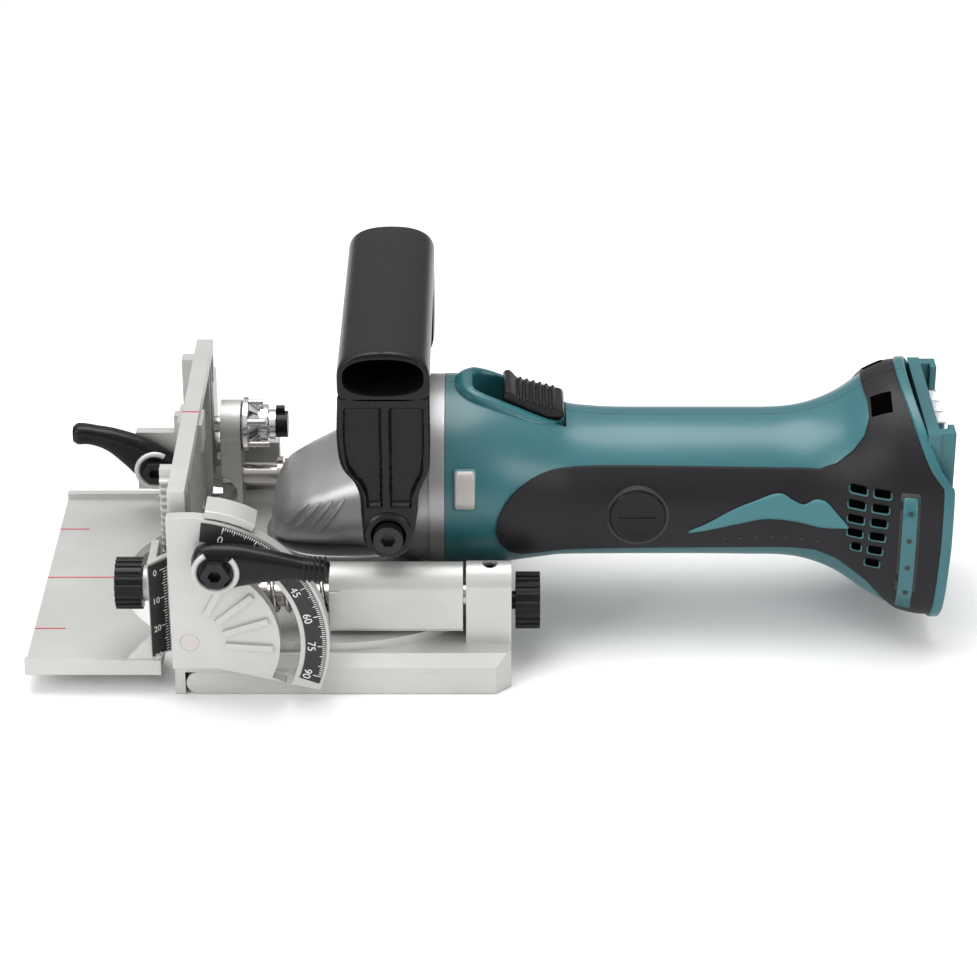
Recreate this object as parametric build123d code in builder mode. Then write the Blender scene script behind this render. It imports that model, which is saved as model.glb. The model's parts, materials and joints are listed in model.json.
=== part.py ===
"""Cordless biscuit joiner without its battery, in millimetres.

+X points to the battery end, -X to the work, +Z up. Z = 0 is the underside of the blade cover,
Y = 0 the middle plane, and X = 0 lies 5.5 mm behind the face that is pressed against the work.
"""
from build123d import *
import math
import os

os.makedirs("parts", exist_ok=True)

# ---------------------------------------------------------------- driving dimensions
FRONT_X = -5.5                # face that touches the work
BASE_REAR_X = 102.6
BASE_HALF = 60.0              # half width of the base
COVER_TOP = 8.0               # the blade cover is the lower 8 mm
PLATE_TOP = 13.0
ROOF_TOP = 16.0               # top of the round blade housing

BLADE_X = 47.0                # spindle axis at rest
BLADE_Z = 10.0                # middle of the cutter
BLADE_R = 50.0
BLADE_CORE = 2.6
TOOTH_W = 4.0
PLUNGE = 22.5                 # travel of the motor unit along the rods

ROD_Y, ROD_Z, ROD_R = 43.5, 27.5, 4.0
RUN = 0.05                    # radial running clearance
TUBE_FRONT_X, TUBE_REAR_X = 44.0, 87.0
SPRING_WIRE_R, SPRING_R = 0.7, 5.3
COLLAR_X = 24.0               # rear face of the spring collar on each rod
SEAT_X = 80.0                 # shoulder inside each carriage tube
TUBE_BORE_R = 6.6

PIVOT_X, PIVOT_Z, PIVOT_R = 0.3, 22.0, 3.0
FENCE_HALF, FENCE_LOW, FENCE_TOP = 58.0, 20.8, 72.0
RACK_LOW = 28.7
FAR_CHEEK_TOP = 34.0
SECTOR_R, SLOT_R, SLOT_W = 44.5, 32.0, 6.5
SECTOR_Y, SECTOR_T = 61.0, 4.5
LOCK_ANGLE = 71.8             # where the tilt bolt stands, from +X about the pivot
CHEEK_IN, CHEEK_OUT = 54.5, 60.0

GUIDE_FRONT_X, GUIDE_REAR_X = -53.7, -9.9
GUIDE_LOW, GUIDE_PLATE_TOP, GUIDE_LIP_TOP = 7.0, 10.0, 12.4
GUIDE_TOP = 48.3
PINION_Y, PINION_Z, PINION_TEETH, PINION_MODULE = -48.0, 34.2, 12, 0.8
LEVER_X, LEVER_Z = -20.5, 29.0  # axis of the height lock lever
CLAMP_Y, CLAMP_Z = -33.0, 19.6  # axis of the blade cover clamp knob

TURRET_Y, TURRET_Z = 45.0, 45.8
MOTOR_Z = 47.0                # motor axis
GEAR_R, GEAR_TEETH, BEVEL_TEETH = 19.0, 37, 10
BEVEL_R = GEAR_R * BEVEL_TEETH / GEAR_TEETH
HEAD_R, HEAD_Z = 32.0, 51.4
GRIP_R = 25.0
WALL = 2.6
HOUSING_FRONT_X, HOUSING_REAR_X = 81.0, 240.0
HANDLE_X, HANDLE_Z = 63.5, 53.6
BRUSH_X = 143.7
SWITCH_TRAVEL = 8.0

LOCK_X = PIVOT_X + SLOT_R * math.cos(math.radians(LOCK_ANGLE))
LOCK_Z = PIVOT_Z + SLOT_R * math.sin(math.radians(LOCK_ANGLE))


def box(x, y, z, mode=Mode.ADD):
    """A block from three (low, high) pairs, added to the part being built."""
    centre = [(a + b) / 2 for a, b in (x, y, z)]
    with Locations(tuple(centre)):
        return Box(x[1] - x[0], y[1] - y[0], z[1] - z[0], mode=mode)


def rod_x(x, y, z, r, mode=Mode.ADD):
    """A round bar along X between x[0] and x[1]."""
    with Locations(Location(((x[0] + x[1]) / 2, y, z), (0, 90, 0))):
        return Cylinder(r, x[1] - x[0], mode=mode)


def rod_y(x, y, z, r, mode=Mode.ADD):
    """A round bar along Y between y[0] and y[1]."""
    with Locations(Location((x, (y[0] + y[1]) / 2, z), (90, 0, 0))):
        return Cylinder(r, y[1] - y[0], mode=mode)


def rod_z(x, y, z, r, mode=Mode.ADD):
    """A round bar along Z between z[0] and z[1]."""
    with Locations((x, y, (z[0] + z[1]) / 2)):
        return Cylinder(r, z[1] - z[0], mode=mode)


def save(part, name):
    """Label one finished piece and write it out."""
    part.part.label = name
    export_step(part.part, f"parts/{name}.step")


# ---------------------------------------------------------------- base
CAVITY_R = BLADE_R + 2.0
SLOT_HALF = 44.0
HUB_SLOT_R = 10.0
POST_X = (88.0, BASE_REAR_X)

with BuildPart() as base_frame:
    with BuildSketch(Plane.XY.offset(COVER_TOP)):
        with BuildLine():
            Polyline(
                (FRONT_X, -BASE_HALF), (BASE_REAR_X - 5, -BASE_HALF), (BASE_REAR_X, 5 - BASE_HALF),
                (BASE_REAR_X, BASE_HALF - 5), (BASE_REAR_X - 5, BASE_HALF), (FRONT_X, BASE_HALF),
                close=True,
            )
        make_face()
    extrude(amount=PLATE_TOP - COVER_TOP)
    chamfer(base_frame.edges().filter_by(Axis.X).group_by(Axis.Z)[-1], 3.5)
    box((FRONT_X, -2.3), (-BASE_HALF, BASE_HALF), (0, 14))
    with BuildSketch(Plane.XY.offset(PLATE_TOP)):
        with Locations((BLADE_X - PLUNGE / 2, 0)):
            SlotOverall(2 * 55 + PLUNGE, 2 * 55)
    extrude(amount=ROOF_TOP - PLATE_TOP)
    with BuildSketch(Plane.XY.offset(COVER_TOP)):
        with Locations((BLADE_X - PLUNGE / 2, 0)):
            SlotOverall(2 * CAVITY_R + PLUNGE, 2 * CAVITY_R)
        with Locations((-53, 0)):
            Rectangle(101.4, 200, mode=Mode.SUBTRACT)
    extrude(amount=14.5 - COVER_TOP, mode=Mode.SUBTRACT)
    with BuildSketch(Plane.XY.offset(COVER_TOP)):
        with Locations((BLADE_X - PLUNGE / 2, 0)):
            SlotOverall(2 * HUB_SLOT_R + PLUNGE, 2 * HUB_SLOT_R)
    extrude(amount=ROOF_TOP - COVER_TOP + 1, mode=Mode.SUBTRACT)
    box((FRONT_X - 60, FRONT_X), (-80, 80), (-1, 30), Mode.SUBTRACT)
    box((FRONT_X - 1, -2), (-SLOT_HALF, SLOT_HALF), (7.4, 12.6), Mode.SUBTRACT)
    for side in (-1, 1):
        inner, outer = sorted((side * 37, side * 50))
        for x in ((3, 10), POST_X):
            box(x, (inner, outer), (12, ROD_Z + 6))
            rod_x(x, side * ROD_Y, ROD_Z + 5, 6.5)
        cheek = sorted((side * CHEEK_IN, side * CHEEK_OUT))
        box((1.5, 22), cheek, (12, FAR_CHEEK_TOP))
        rod_y(PIVOT_X, cheek, PIVOT_Z, 5.6)
        front = sorted((side * 50, side * CHEEK_OUT))
        box((3, 10), front, (12, 39))
    # the near cheek rises to carry the tilt lock
    box((1.5, 22), (-CHEEK_OUT, -CHEEK_IN), (12, 44))
    with BuildSketch(Plane.XZ.offset(CHEEK_IN)):
        with BuildLine():
            Polyline((1.5, 43), (22, 43), (17, 59), (6, 59), close=True)
        make_face()
    extrude(amount=CHEEK_OUT - CHEEK_IN)
    box((3, 10), (37, 53), (30, TURRET_Z))
    rod_x((3, 10), TURRET_Y, TURRET_Z, 8.5)
    box(POST_X, (-38, -28), (12, 26))
    box((66, 99), (52, BASE_HALF), (PLATE_TOP - 1, 32))
    box((66, 99), (44, 52), (PLATE_TOP - 1, ROOF_TOP))
    for side in (-1, 1):
        rod_x((2, BASE_REAR_X + 1), side * ROD_Y, ROD_Z, ROD_R, Mode.SUBTRACT)
        rod_z(95.7, side * ROD_Y, (ROD_Z + 3, 45), 2.5, Mode.SUBTRACT)
        lug = sorted((side * 34, side * 41))
        box((-2.3, 6), lug, (0.6, 6.4))
    rod_y(PIVOT_X, (-70, 70), PIVOT_Z, PIVOT_R, Mode.SUBTRACT)
    rod_y(PIVOT_X, (-CHEEK_IN + 0.2, CHEEK_IN - 0.2), PIVOT_Z, 8.0, Mode.SUBTRACT)
    rod_y(2.0, (-46, 46), 4.0, 2.0, Mode.SUBTRACT)
    rod_y(LOCK_X, (-BASE_HALF - 1, -CHEEK_IN + 1), LOCK_Z, 3.0 + RUN, Mode.SUBTRACT)
    rod_x((2, 11), TURRET_Y, TURRET_Z, 3.0 + RUN, Mode.SUBTRACT)
    rod_x((91, 104), CLAMP_Y, CLAMP_Z, 3.0 + RUN, Mode.SUBTRACT)
    box((70, 95), (40, 70), (15.4, 29), Mode.SUBTRACT)
save(base_frame, "base_frame")

with BuildPart() as blade_cover:
    box((2, BASE_REAR_X), (-BASE_HALF, BASE_HALF), (0, COVER_TOP))
    rod_y(2.0, (-BASE_HALF, BASE_HALF), 4.0, 3.95)
    box((-4, 2), (-61, 61), (-1, 0.05), Mode.SUBTRACT)
    for x in (BASE_REAR_X,):
        with BuildSketch(Plane.XY):
            for side in (-1, 1):
                with BuildLine():
                    Polyline(
                        (x + 1, side * (BASE_HALF - 6)), (x + 1, side * (BASE_HALF + 1)),
                        (x - 6, side * (BASE_HALF + 1)), close=True,
                    )
                make_face()
        extrude(amount=COVER_TOP, mode=Mode.SUBTRACT)
    with BuildSketch(Plane.XY.offset(1.8)):
        with Locations((BLADE_X - PLUNGE / 2, 0)):
            SlotOverall(2 * CAVITY_R + PLUNGE, 2 * CAVITY_R)
        with Locations((-53, 0)):
            Rectangle(118, 200, mode=Mode.SUBTRACT)
    extrude(amount=COVER_TOP, mode=Mode.SUBTRACT)
    for side in (-1, 1):
        lug = sorted((side * 33.6, side * 41.4))
        box((-3, 7), lug, (-1, 9), Mode.SUBTRACT)
    rod_y(2.0, (-46, 46), 4.0, 2.0 + RUN, Mode.SUBTRACT)
    box((-3, 6.2), (-46, 46), (6.4, 9), Mode.SUBTRACT)
save(blade_cover, "blade_cover")

with BuildPart() as cover_hinge_pins:
    for side in (-1, 1):
        rod_y(2.0, sorted((side * 30, side * 45.5)), 4.0, 2.0)
save(cover_hinge_pins, "cover_hinge_pins")

with BuildPart() as guide_rods:
    for side in (-1, 1):
        rod_x((3, BASE_REAR_X), side * ROD_Y, ROD_Z, ROD_R)
        rod_x((COLLAR_X - 2, COLLAR_X), side * ROD_Y, ROD_Z, 6.0)
save(guide_rods, "guide_rods")

with BuildPart() as plunge_springs:
    for side in (-1, 1):
        coil = Helix(
            pitch=4.0, height=SEAT_X - COLLAR_X - 2.4, radius=SPRING_R,
            center=(COLLAR_X + 1.2, side * ROD_Y, ROD_Z), direction=(1, 0, 0), mode=Mode.PRIVATE,
        )
        with BuildSketch(Plane(origin=coil @ 0, z_dir=coil % 0)):
            Circle(SPRING_WIRE_R)
        sweep(path=coil, is_frenet=True)
save(plunge_springs, "plunge_springs")

with BuildPart() as rod_set_screws:
    for side in (-1, 1):
        rod_z(95.7, side * ROD_Y, (ROD_Z + ROD_R, 37.6), 2.5)
        with BuildSketch(Plane.XY.offset(37.6)):
            with Locations((95.7, side * ROD_Y)):
                RegularPolygon(1.4, 6)
        extrude(amount=-2.0, mode=Mode.SUBTRACT)
save(rod_set_screws, "rod_set_screws")

NOZZLE_X, NOZZLE_Z, NOZZLE_R = 82.5, 20.0, 14.5
with BuildPart() as dust_nozzle:
    box((68, 97), (BASE_HALF, BASE_HALF + 6), (4, 36))
    with Locations(Location((NOZZLE_X, BASE_HALF + 16, NOZZLE_Z), (90, 0, 0))):
        Cone(NOZZLE_R, NOZZLE_R + 0.8, 20)
    rod_y(NOZZLE_X, (BASE_HALF + 5, BASE_HALF + 27), NOZZLE_Z, 12.0, Mode.SUBTRACT)
    box((72, 93), (BASE_HALF - 1, BASE_HALF + 6), (15.4, 28), Mode.SUBTRACT)
save(dust_nozzle, "dust_nozzle")

with BuildPart() as cover_clamp_screw:
    rod_x((91.5, 104), CLAMP_Y, CLAMP_Z, 3.0)
    with BuildSketch(Plane.YZ.offset(104)):
        with Locations((CLAMP_Y, CLAMP_Z)):
            Circle(8.6)
            with PolarLocations(8.6, 18):
                Circle(0.75)
    extrude(amount=8)
save(cover_clamp_screw, "cover_clamp_screw")

# ---------------------------------------------------------------- depth stop turret
with BuildPart() as depth_stop_turret:
    rod_x((0.5, 9.6), TURRET_Y, TURRET_Z, 3.0)
    rod_x((10.1, 12.6), TURRET_Y, TURRET_Z, 9.5)
    rod_x((9.5, 12.6), TURRET_Y, TURRET_Z, 3.0)
    rod_x((12.6, 17), TURRET_Y, TURRET_Z, 7.6)
    rod_x((17, 22), TURRET_Y, TURRET_Z, 5.0)
save(depth_stop_turret, "depth_stop_turret")

with BuildPart() as turret_stop_screws:
    for turn, length in zip(range(6), (2.0, 3.0, 4.0, 5.0, 6.0, 7.0)):
        angle = math.radians(60 * turn - 90)
        y = TURRET_Y + 8.3 * math.cos(angle)
        z = TURRET_Z + 8.3 * math.sin(angle)
        rod_x((12.6, 12.6 + length), y, z, 1.1)
    rod_x((12.6, 24), TURRET_Y, TURRET_Z, 7.7, Mode.SUBTRACT)
save(turret_stop_screws, "turret_stop_screws")

with BuildPart() as turret_pointer:
    rod_x((22, 26), TURRET_Y, TURRET_Z, 4.6)
    box((22, 25), (TURRET_Y - 1.3, TURRET_Y + 1.3), (TURRET_Z, TURRET_Z + 5.8))
    with Locations((23.5, TURRET_Y, TURRET_Z + 5.8)):
        Cylinder(1.3, 3, rotation=(0, 90, 0))
save(turret_pointer, "turret_pointer")

# ---------------------------------------------------------------- tilting fence
RACK_PITCH_Y = PINION_Y + PINION_MODULE * PINION_TEETH / 2
PITCH = math.pi * PINION_MODULE
with BuildPart() as fence:
    box((FRONT_X, -2.5), (-FENCE_HALF, FENCE_HALF), (FENCE_LOW, FENCE_TOP))
    box((-3, 0), (-FENCE_HALF, FENCE_HALF), (68, FENCE_TOP))
    for side in (-1, 1):
        for inner, outer in ((54, FENCE_HALF), (46, 47.5), (38, 39.5)):
            box((-3, 0), sorted((side * inner, side * outer)), (FENCE_LOW, FENCE_TOP))
        box((FRONT_X - 1, 1), sorted((side * 54.3, side * 70)), (0, 29), Mode.SUBTRACT)
        arm = sorted((side * 50, side * (SECTOR_Y + SECTOR_T)))
        box((FRONT_X, 0), arm, (29.5, 58))
    box((-3, 1.2), (-6, 6), (60, 70))
    # room for the nose of the bearing box when the fence is tilted right over
    box((FRONT_X - 1, 1.5), (-29.5, 29.5), (0, 25.2), Mode.SUBTRACT)
    box((-9.4, FRONT_X), (41, 46), (RACK_LOW, FENCE_TOP))
    with BuildSketch(Plane.YZ.offset(FRONT_X)):
        with BuildLine():
            left = RACK_PITCH_Y
            Polyline(
                (left + 1.0, RACK_LOW), (-38.5, RACK_LOW), (-38.5, FENCE_TOP),
                (left + 1.0, FENCE_TOP), close=True,
            )
        make_face()
        for k in range(-2, 14):
            z = PINION_Z + PITCH * (k + 0.5)
            with BuildLine():
                Polyline(
                    (left + 1.2, z - 1.0), (left - 0.6, z - 0.33), (left - 0.6, z + 0.33),
                    (left + 1.2, z + 1.0), close=True,
                )
            make_face()
    extrude(amount=-3.8)
    for side, reach in ((-1, SECTOR_R), (1, 9.0)):
        face = -(SECTOR_Y + SECTOR_T) if side < 0 else SECTOR_Y
        with BuildSketch(Plane.XZ.offset(-face)) as sector_outline:
            with Locations((PIVOT_X, PIVOT_Z)):
                Circle(reach)
            with Locations((PIVOT_X - 5.8 - 50, PIVOT_Z)):
                Rectangle(100, 200, mode=Mode.SUBTRACT)
            if side < 0:
                with Locations((PIVOT_X, PIVOT_Z)):
                    Polygon(
                        (-6, -9.5), (9, -9.5), (100, -32), (100, -120), (-6, -120),
                        align=None, mode=Mode.SUBTRACT,
                    )
                with BuildLine():
                    wide = CenterArc((PIVOT_X, PIVOT_Z), SLOT_R + SLOT_W / 2, -26, 105)
                    narrow = CenterArc((PIVOT_X, PIVOT_Z), SLOT_R - SLOT_W / 2, -26, 105)
                    Line(wide @ 0, narrow @ 0)
                    Line(wide @ 1, narrow @ 1)
                make_face(mode=Mode.SUBTRACT)
        extrude(amount=-SECTOR_T)
    for turn in (-4, 18, 40, 62):
        angle = math.radians(turn)
        with Locations(
            Location(
                (PIVOT_X + 19 * math.cos(angle), -SECTOR_Y - SECTOR_T - 0.4,
                 PIVOT_Z + 19 * math.sin(angle)), (0, -turn, 0),
            )
        ):
            Box(15, 1.2, 2.2)
    rod_y(PIVOT_X, (-70, 70), PIVOT_Z, PIVOT_R + RUN, Mode.SUBTRACT)
save(fence, "fence")

with BuildPart() as fence_pivot_pins:
    for side in (-1, 1):
        rod_y(PIVOT_X, sorted((side * 54.7, side * 65.5)), PIVOT_Z, PIVOT_R)
save(fence_pivot_pins, "fence_pivot_pins")

with BuildPart() as tilt_scale:
    with BuildSketch(Plane.XZ.offset(SECTOR_Y + SECTOR_T)):
        with BuildLine():
            outer = CenterArc((PIVOT_X, PIVOT_Z), 43.4, -20, 103)
            inner = CenterArc((PIVOT_X, PIVOT_Z), 36.8, -20, 103)
            Line(outer @ 0, inner @ 0)
            Line(outer @ 1, inner @ 1)
        make_face()
    extrude(amount=0.3)
save(tilt_scale, "tilt_scale")

LEVER_Y = -(SECTOR_Y + SECTOR_T) - 1.3
with BuildPart() as tilt_lock_lever:
    rod_y(LOCK_X, (LEVER_Y - 8, LEVER_Y), LOCK_Z, 8.0)
    with BuildSketch(Plane.XZ.offset(-LEVER_Y)):
        with BuildLine():
            Polyline(
                (LOCK_X, LOCK_Z - 6.5), (LOCK_X + 20, LOCK_Z - 4.5), (45.7, LOCK_Z - 3.2),
                (45.7, LOCK_Z + 2.6), (LOCK_X + 20, LOCK_Z + 4), (LOCK_X, LOCK_Z + 7.5), close=True,
            )
        make_face()
    extrude(amount=6)
    rod_y(LOCK_X, (LEVER_Y - 9, LEVER_Y + 1), LOCK_Z, 4.0, Mode.SUBTRACT)
save(tilt_lock_lever, "tilt_lock_lever")

with BuildPart() as tilt_lock_bolt:
    rod_y(LOCK_X, (-80, -CHEEK_IN), LOCK_Z, 3.0)
    rod_y(LOCK_X, (LEVER_Y - 8, LEVER_Y), LOCK_Z, 4.0)
    box((0, 20), (-90, LEVER_Y - 8), (40, 60), Mode.SUBTRACT)
    with BuildSketch(Plane.XZ.offset(-LEVER_Y + 8)):
        with Locations((LOCK_X, LOCK_Z)):
            RegularPolygon(4.6, 6)
            RegularPolygon(2.2, 6, mode=Mode.SUBTRACT)
    extrude(amount=3)
save(tilt_lock_bolt, "tilt_lock_bolt")

# ---------------------------------------------------------------- angle guide
WING_LOW = 14.0
with BuildPart() as angle_guide:
    with BuildSketch(Plane.XY.offset(GUIDE_LOW)):
        with Locations(((GUIDE_FRONT_X + GUIDE_REAR_X) / 2, 0)):
            Rectangle(GUIDE_REAR_X - GUIDE_FRONT_X, 2 * BASE_HALF)
        with Locations((24, 0)):
            Circle(52, mode=Mode.SUBTRACT)
    extrude(amount=GUIDE_PLATE_TOP - GUIDE_LOW)
    for side in (-1, 1):
        lip = sorted((side * (BASE_HALF - 2.5), side * BASE_HALF))
        box((GUIDE_FRONT_X, GUIDE_REAR_X), lip, (GUIDE_LOW, GUIDE_LIP_TOP))
        wall = sorted((side * 45, side * 59.5))
        box((-12.4, GUIDE_REAR_X), wall, (GUIDE_LOW, GUIDE_TOP if side < 0 else 46.5))
        web = sorted((side * 56.5, side * 59.5))
        with BuildSketch(Plane.XZ.offset(-web[1])):
            with BuildLine():
                Polyline((-12.2, GUIDE_LOW + 1), (-25, GUIDE_LOW + 1), (-12.2, 22), close=True)
            make_face()
        extrude(amount=web[1] - web[0])
    with BuildSketch(Plane.XY.offset(WING_LOW)):
        with BuildLine():
            Polyline((-12.4, -62), (-6.0, -55.6), (-6.0, -52.8), (-12.4, -59.2), close=True)
        make_face()
    extrude(amount=GUIDE_TOP - WING_LOW)
    box((-27.5, -12.3), (50.2, 54), (18, 40))
    box((-14, -12.3), (50.2, 54), (16, 46.5))
    rod_x((-15.2, -12.3), PINION_Y, PINION_Z, 5.8)
    rod_x((-20, -9), PINION_Y, PINION_Z, 3.0 + RUN, Mode.SUBTRACT)
    rod_y(LEVER_X, (49, 55), LEVER_Z, 3.0 + RUN, Mode.SUBTRACT)
save(angle_guide, "angle_guide")

with BuildPart() as height_scale:
    with BuildSketch(Plane.XY.offset(15.0)):
        with BuildLine():
            Polyline(
                (-12.1, -61.9), (-6.6, -56.4), (-6.4, -56.6), (-11.9, -62.1), close=True,
            )
        make_face()
    extrude(amount=32.5)
save(height_scale, "height_scale")

with BuildPart() as pinion_shaft:
    rod_x((-19, -6.2), PINION_Y, PINION_Z, 3.0)
    with BuildSketch(Plane.YZ.offset(-9.4)):
        with Locations((PINION_Y, PINION_Z)):
            Circle(PINION_MODULE * PINION_TEETH / 2 - 1.1)
            with PolarLocations(0, PINION_TEETH):
                Polygon(
                    (3.4, 0.9), (4.8, 0.6), (5.45, 0.22), (5.45, -0.22), (4.8, -0.6), (3.4, -0.9),
                    align=None,
                )
    extrude(amount=2.4)
save(pinion_shaft, "pinion_shaft")

with BuildPart() as pinion_knob:
    with BuildSketch(Plane.YZ.offset(-24)):
        with Locations((PINION_Y, PINION_Z)):
            Circle(7.8)
            with PolarLocations(7.8, 20):
                Circle(0.65)
    extrude(amount=8.5)
    rod_x((-19, -15), PINION_Y, PINION_Z, 3.0, Mode.SUBTRACT)
save(pinion_knob, "pinion_knob")

with BuildPart() as height_lock_lever:
    rod_y(LEVER_X, (42.5, 50), LEVER_Z, 7.0)
    with BuildSketch(Plane.XZ.offset(-49.5)):
        with BuildLine():
            Polyline(
                (LEVER_X - 1, LEVER_Z - 6.5), (-34, 36), (-48.7, 38.5), (-48.7, 44),
                (-34, 42.5), (LEVER_X + 1, LEVER_Z + 7), close=True,
            )
        make_face()
    extrude(amount=6)
    rod_y(LEVER_X, (42, 51), LEVER_Z, 3.6, Mode.SUBTRACT)
save(height_lock_lever, "height_lock_lever")

with BuildPart() as height_lock_bolt:
    rod_y(LEVER_X, (42.5, 50), LEVER_Z, 3.6)
    rod_y(LEVER_X, (49, 54), LEVER_Z, 3.0)
    with BuildSketch(Plane.XZ.offset(-42.5)):
        with Locations((LEVER_X, LEVER_Z)):
            RegularPolygon(4.4, 6)
            RegularPolygon(2.0, 6, mode=Mode.SUBTRACT)
    extrude(amount=3)
save(height_lock_bolt, "height_lock_bolt")

# ---------------------------------------------------------------- sliding carriage and gear case
BOX_LOW, BOX_TOP = 17.5, 29.0

with BuildPart() as slide_carriage:
    for side in (-1, 1):
        box((TUBE_FRONT_X, TUBE_REAR_X), sorted((side * 36.8, side * 49.8)), (BOX_LOW, 31))
        rod_x((TUBE_FRONT_X, TUBE_REAR_X), side * 43.3, 31.5, 7.0)
        box((46, 65), sorted((side * 28, side * 38)), (BOX_LOW, BOX_TOP))
    box((52, 56), (33, 41), (30, 49.5))
    for side in (-1, 1):
        rod_x((TUBE_FRONT_X - 1, SEAT_X), side * ROD_Y, ROD_Z, TUBE_BORE_R, Mode.SUBTRACT)
        rod_x((SEAT_X - 1, TUBE_REAR_X + 1), side * ROD_Y, ROD_Z, ROD_R + RUN, Mode.SUBTRACT)
    rod_x((49, 57), TURRET_Y - 8.3, TURRET_Z, 2.5, Mode.SUBTRACT)
save(slide_carriage, "slide_carriage")

with BuildPart() as depth_adjust_screw:
    rod_x((48.8, 58), TURRET_Y - 8.3, TURRET_Z, 2.5)
    with BuildSketch(Plane.YZ.offset(49.4)):
        with Locations((TURRET_Y - 8.3, TURRET_Z)):
            RegularPolygon(4.4, 6)
    extrude(amount=2.6)
save(depth_adjust_screw, "depth_adjust_screw")

with BuildPart() as bearing_box:
    with BuildSketch(Plane.XY.offset(BOX_LOW)):
        with Locations((BLADE_X, 0)):
            Circle(26)
        with Locations(((BLADE_X - 3 + 66) / 2, 0)):
            Rectangle(66 - BLADE_X + 3, 56)
    extrude(amount=BOX_TOP - BOX_LOW)
    rod_z(BLADE_X, 0, (BOX_LOW - 1, BOX_TOP + 1), 9.0, Mode.SUBTRACT)
    rod_z(BLADE_X, 0, (20, BOX_TOP + 1), 14.0, Mode.SUBTRACT)
save(bearing_box, "bearing_box")

with BuildPart() as gear_housing:
    with BuildSketch(Plane.XZ.offset(-34)):
        with BuildLine():
            Polyline(
                (23.2, BOX_TOP), (23.2, 41), (27, 52), (36, 61.5), (50, 68), (62, 76), (76, 81),
                (76, BOX_TOP), close=True,
            )
        make_face()
    extrude(amount=68)
    with BuildSketch(Plane.XY):
        with Locations((BLADE_X, 0)):
            Circle(BLADE_X - 23.2)
        with BuildLine():
            Polyline((50, -23.6), (76, -30.5), (77, -30.5), (77, 30.5), (76, 30.5), (50, 23.6), close=True)
        make_face()
    extrude(amount=100, mode=Mode.INTERSECT)
    with BuildSketch(Plane.YZ):
        with Locations((0, HEAD_Z)):
            Circle(31)
    extrude(amount=100, mode=Mode.INTERSECT)
    for side in (-1, 1):
        rod_y(HANDLE_X, sorted((side * 20, side * 44.4)), HANDLE_Z, 7.5)
    rod_z(BLADE_X, 0, (BOX_TOP - 1, 50), 22.0, Mode.SUBTRACT)
    rod_z(BLADE_X, 0, (49, 56), 8.0, Mode.SUBTRACT)
    rod_x((BLADE_X, 71), 0, MOTOR_Z, 9.5, Mode.SUBTRACT)
    rod_x((70, 78), 0, MOTOR_Z, 13.0, Mode.SUBTRACT)
    for side in (-1, 1):
        rod_y(HANDLE_X, sorted((side * 34, side * 46)), HANDLE_Z, 3.0, Mode.SUBTRACT)
    rod_z(52, 9.8, (40, 80), 2.0 + RUN, Mode.SUBTRACT)
    rod_z(52, 9.8, (60, 80), 5.0, Mode.SUBTRACT)
save(gear_housing, "gear_housing")

with BuildPart() as housing_flange:
    rod_x((76, HOUSING_FRONT_X), 0, HEAD_Z, 31.4)
    rod_x((75, HOUSING_FRONT_X + 1), 0, MOTOR_Z, 12.0, Mode.SUBTRACT)
save(housing_flange, "housing_flange")

with BuildPart() as shaft_lock_button:
    rod_z(52, 9.8, (43.0, 66), 2.0)
    rod_z(52, 9.8, (66, 71), 4.9)
save(shaft_lock_button, "shaft_lock_button")

with BuildPart() as shaft_lock_spring:
    coil = Helix(pitch=1.5, height=4.4, radius=3.3, center=(52, 9.8, 60.8), mode=Mode.PRIVATE)
    with BuildSketch(Plane(origin=coil @ 0, z_dir=coil % 0)):
        Circle(0.35)
    sweep(path=coil, is_frenet=True)
save(shaft_lock_spring, "shaft_lock_spring")

# ---------------------------------------------------------------- spindle
with BuildPart() as spindle:
    rod_z(BLADE_X, 0, (4, 55.5), 6.0)
save(spindle, "spindle")


def bearing(low, high, bore, outside, axis):
    """A ball bearing as an outer ring, an inner ring and its balls, along Z or X."""
    middle = (bore + outside) / 2
    ring = (outside - bore) * 0.24
    plane, spot = Plane.XY.offset(low), (BLADE_X, 0)
    if axis == "x":
        plane, spot = Plane.YZ.offset(low), (0, MOTOR_Z)
    for radius, hole in ((outside, outside - ring), (bore + ring, bore)):
        with BuildSketch(plane) as race:
            with Locations(spot):
                Circle(radius)
                Circle(hole, mode=Mode.SUBTRACT)
        extrude(race.sketch, amount=high - low)
    for ball in range(8):
        turn = math.radians(45 * ball)
        a, b = middle * math.cos(turn), middle * math.sin(turn)
        centre = (BLADE_X + a, b, (low + high) / 2)
        if axis == "x":
            centre = ((low + high) / 2, a, MOTOR_Z + b)
        with Locations(centre):
            Sphere((outside - bore) / 2 - ring - 0.02)


with BuildPart() as spindle_bearings:
    bearing(20.0, 28.0, 6.05, 14.0, "z")
    rod_z(BLADE_X, 0, (50.2, 55.8), 8.0)
    rod_z(BLADE_X, 0, (50, 56), 6.05, Mode.SUBTRACT)
save(spindle_bearings, "spindle_bearings")

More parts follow.
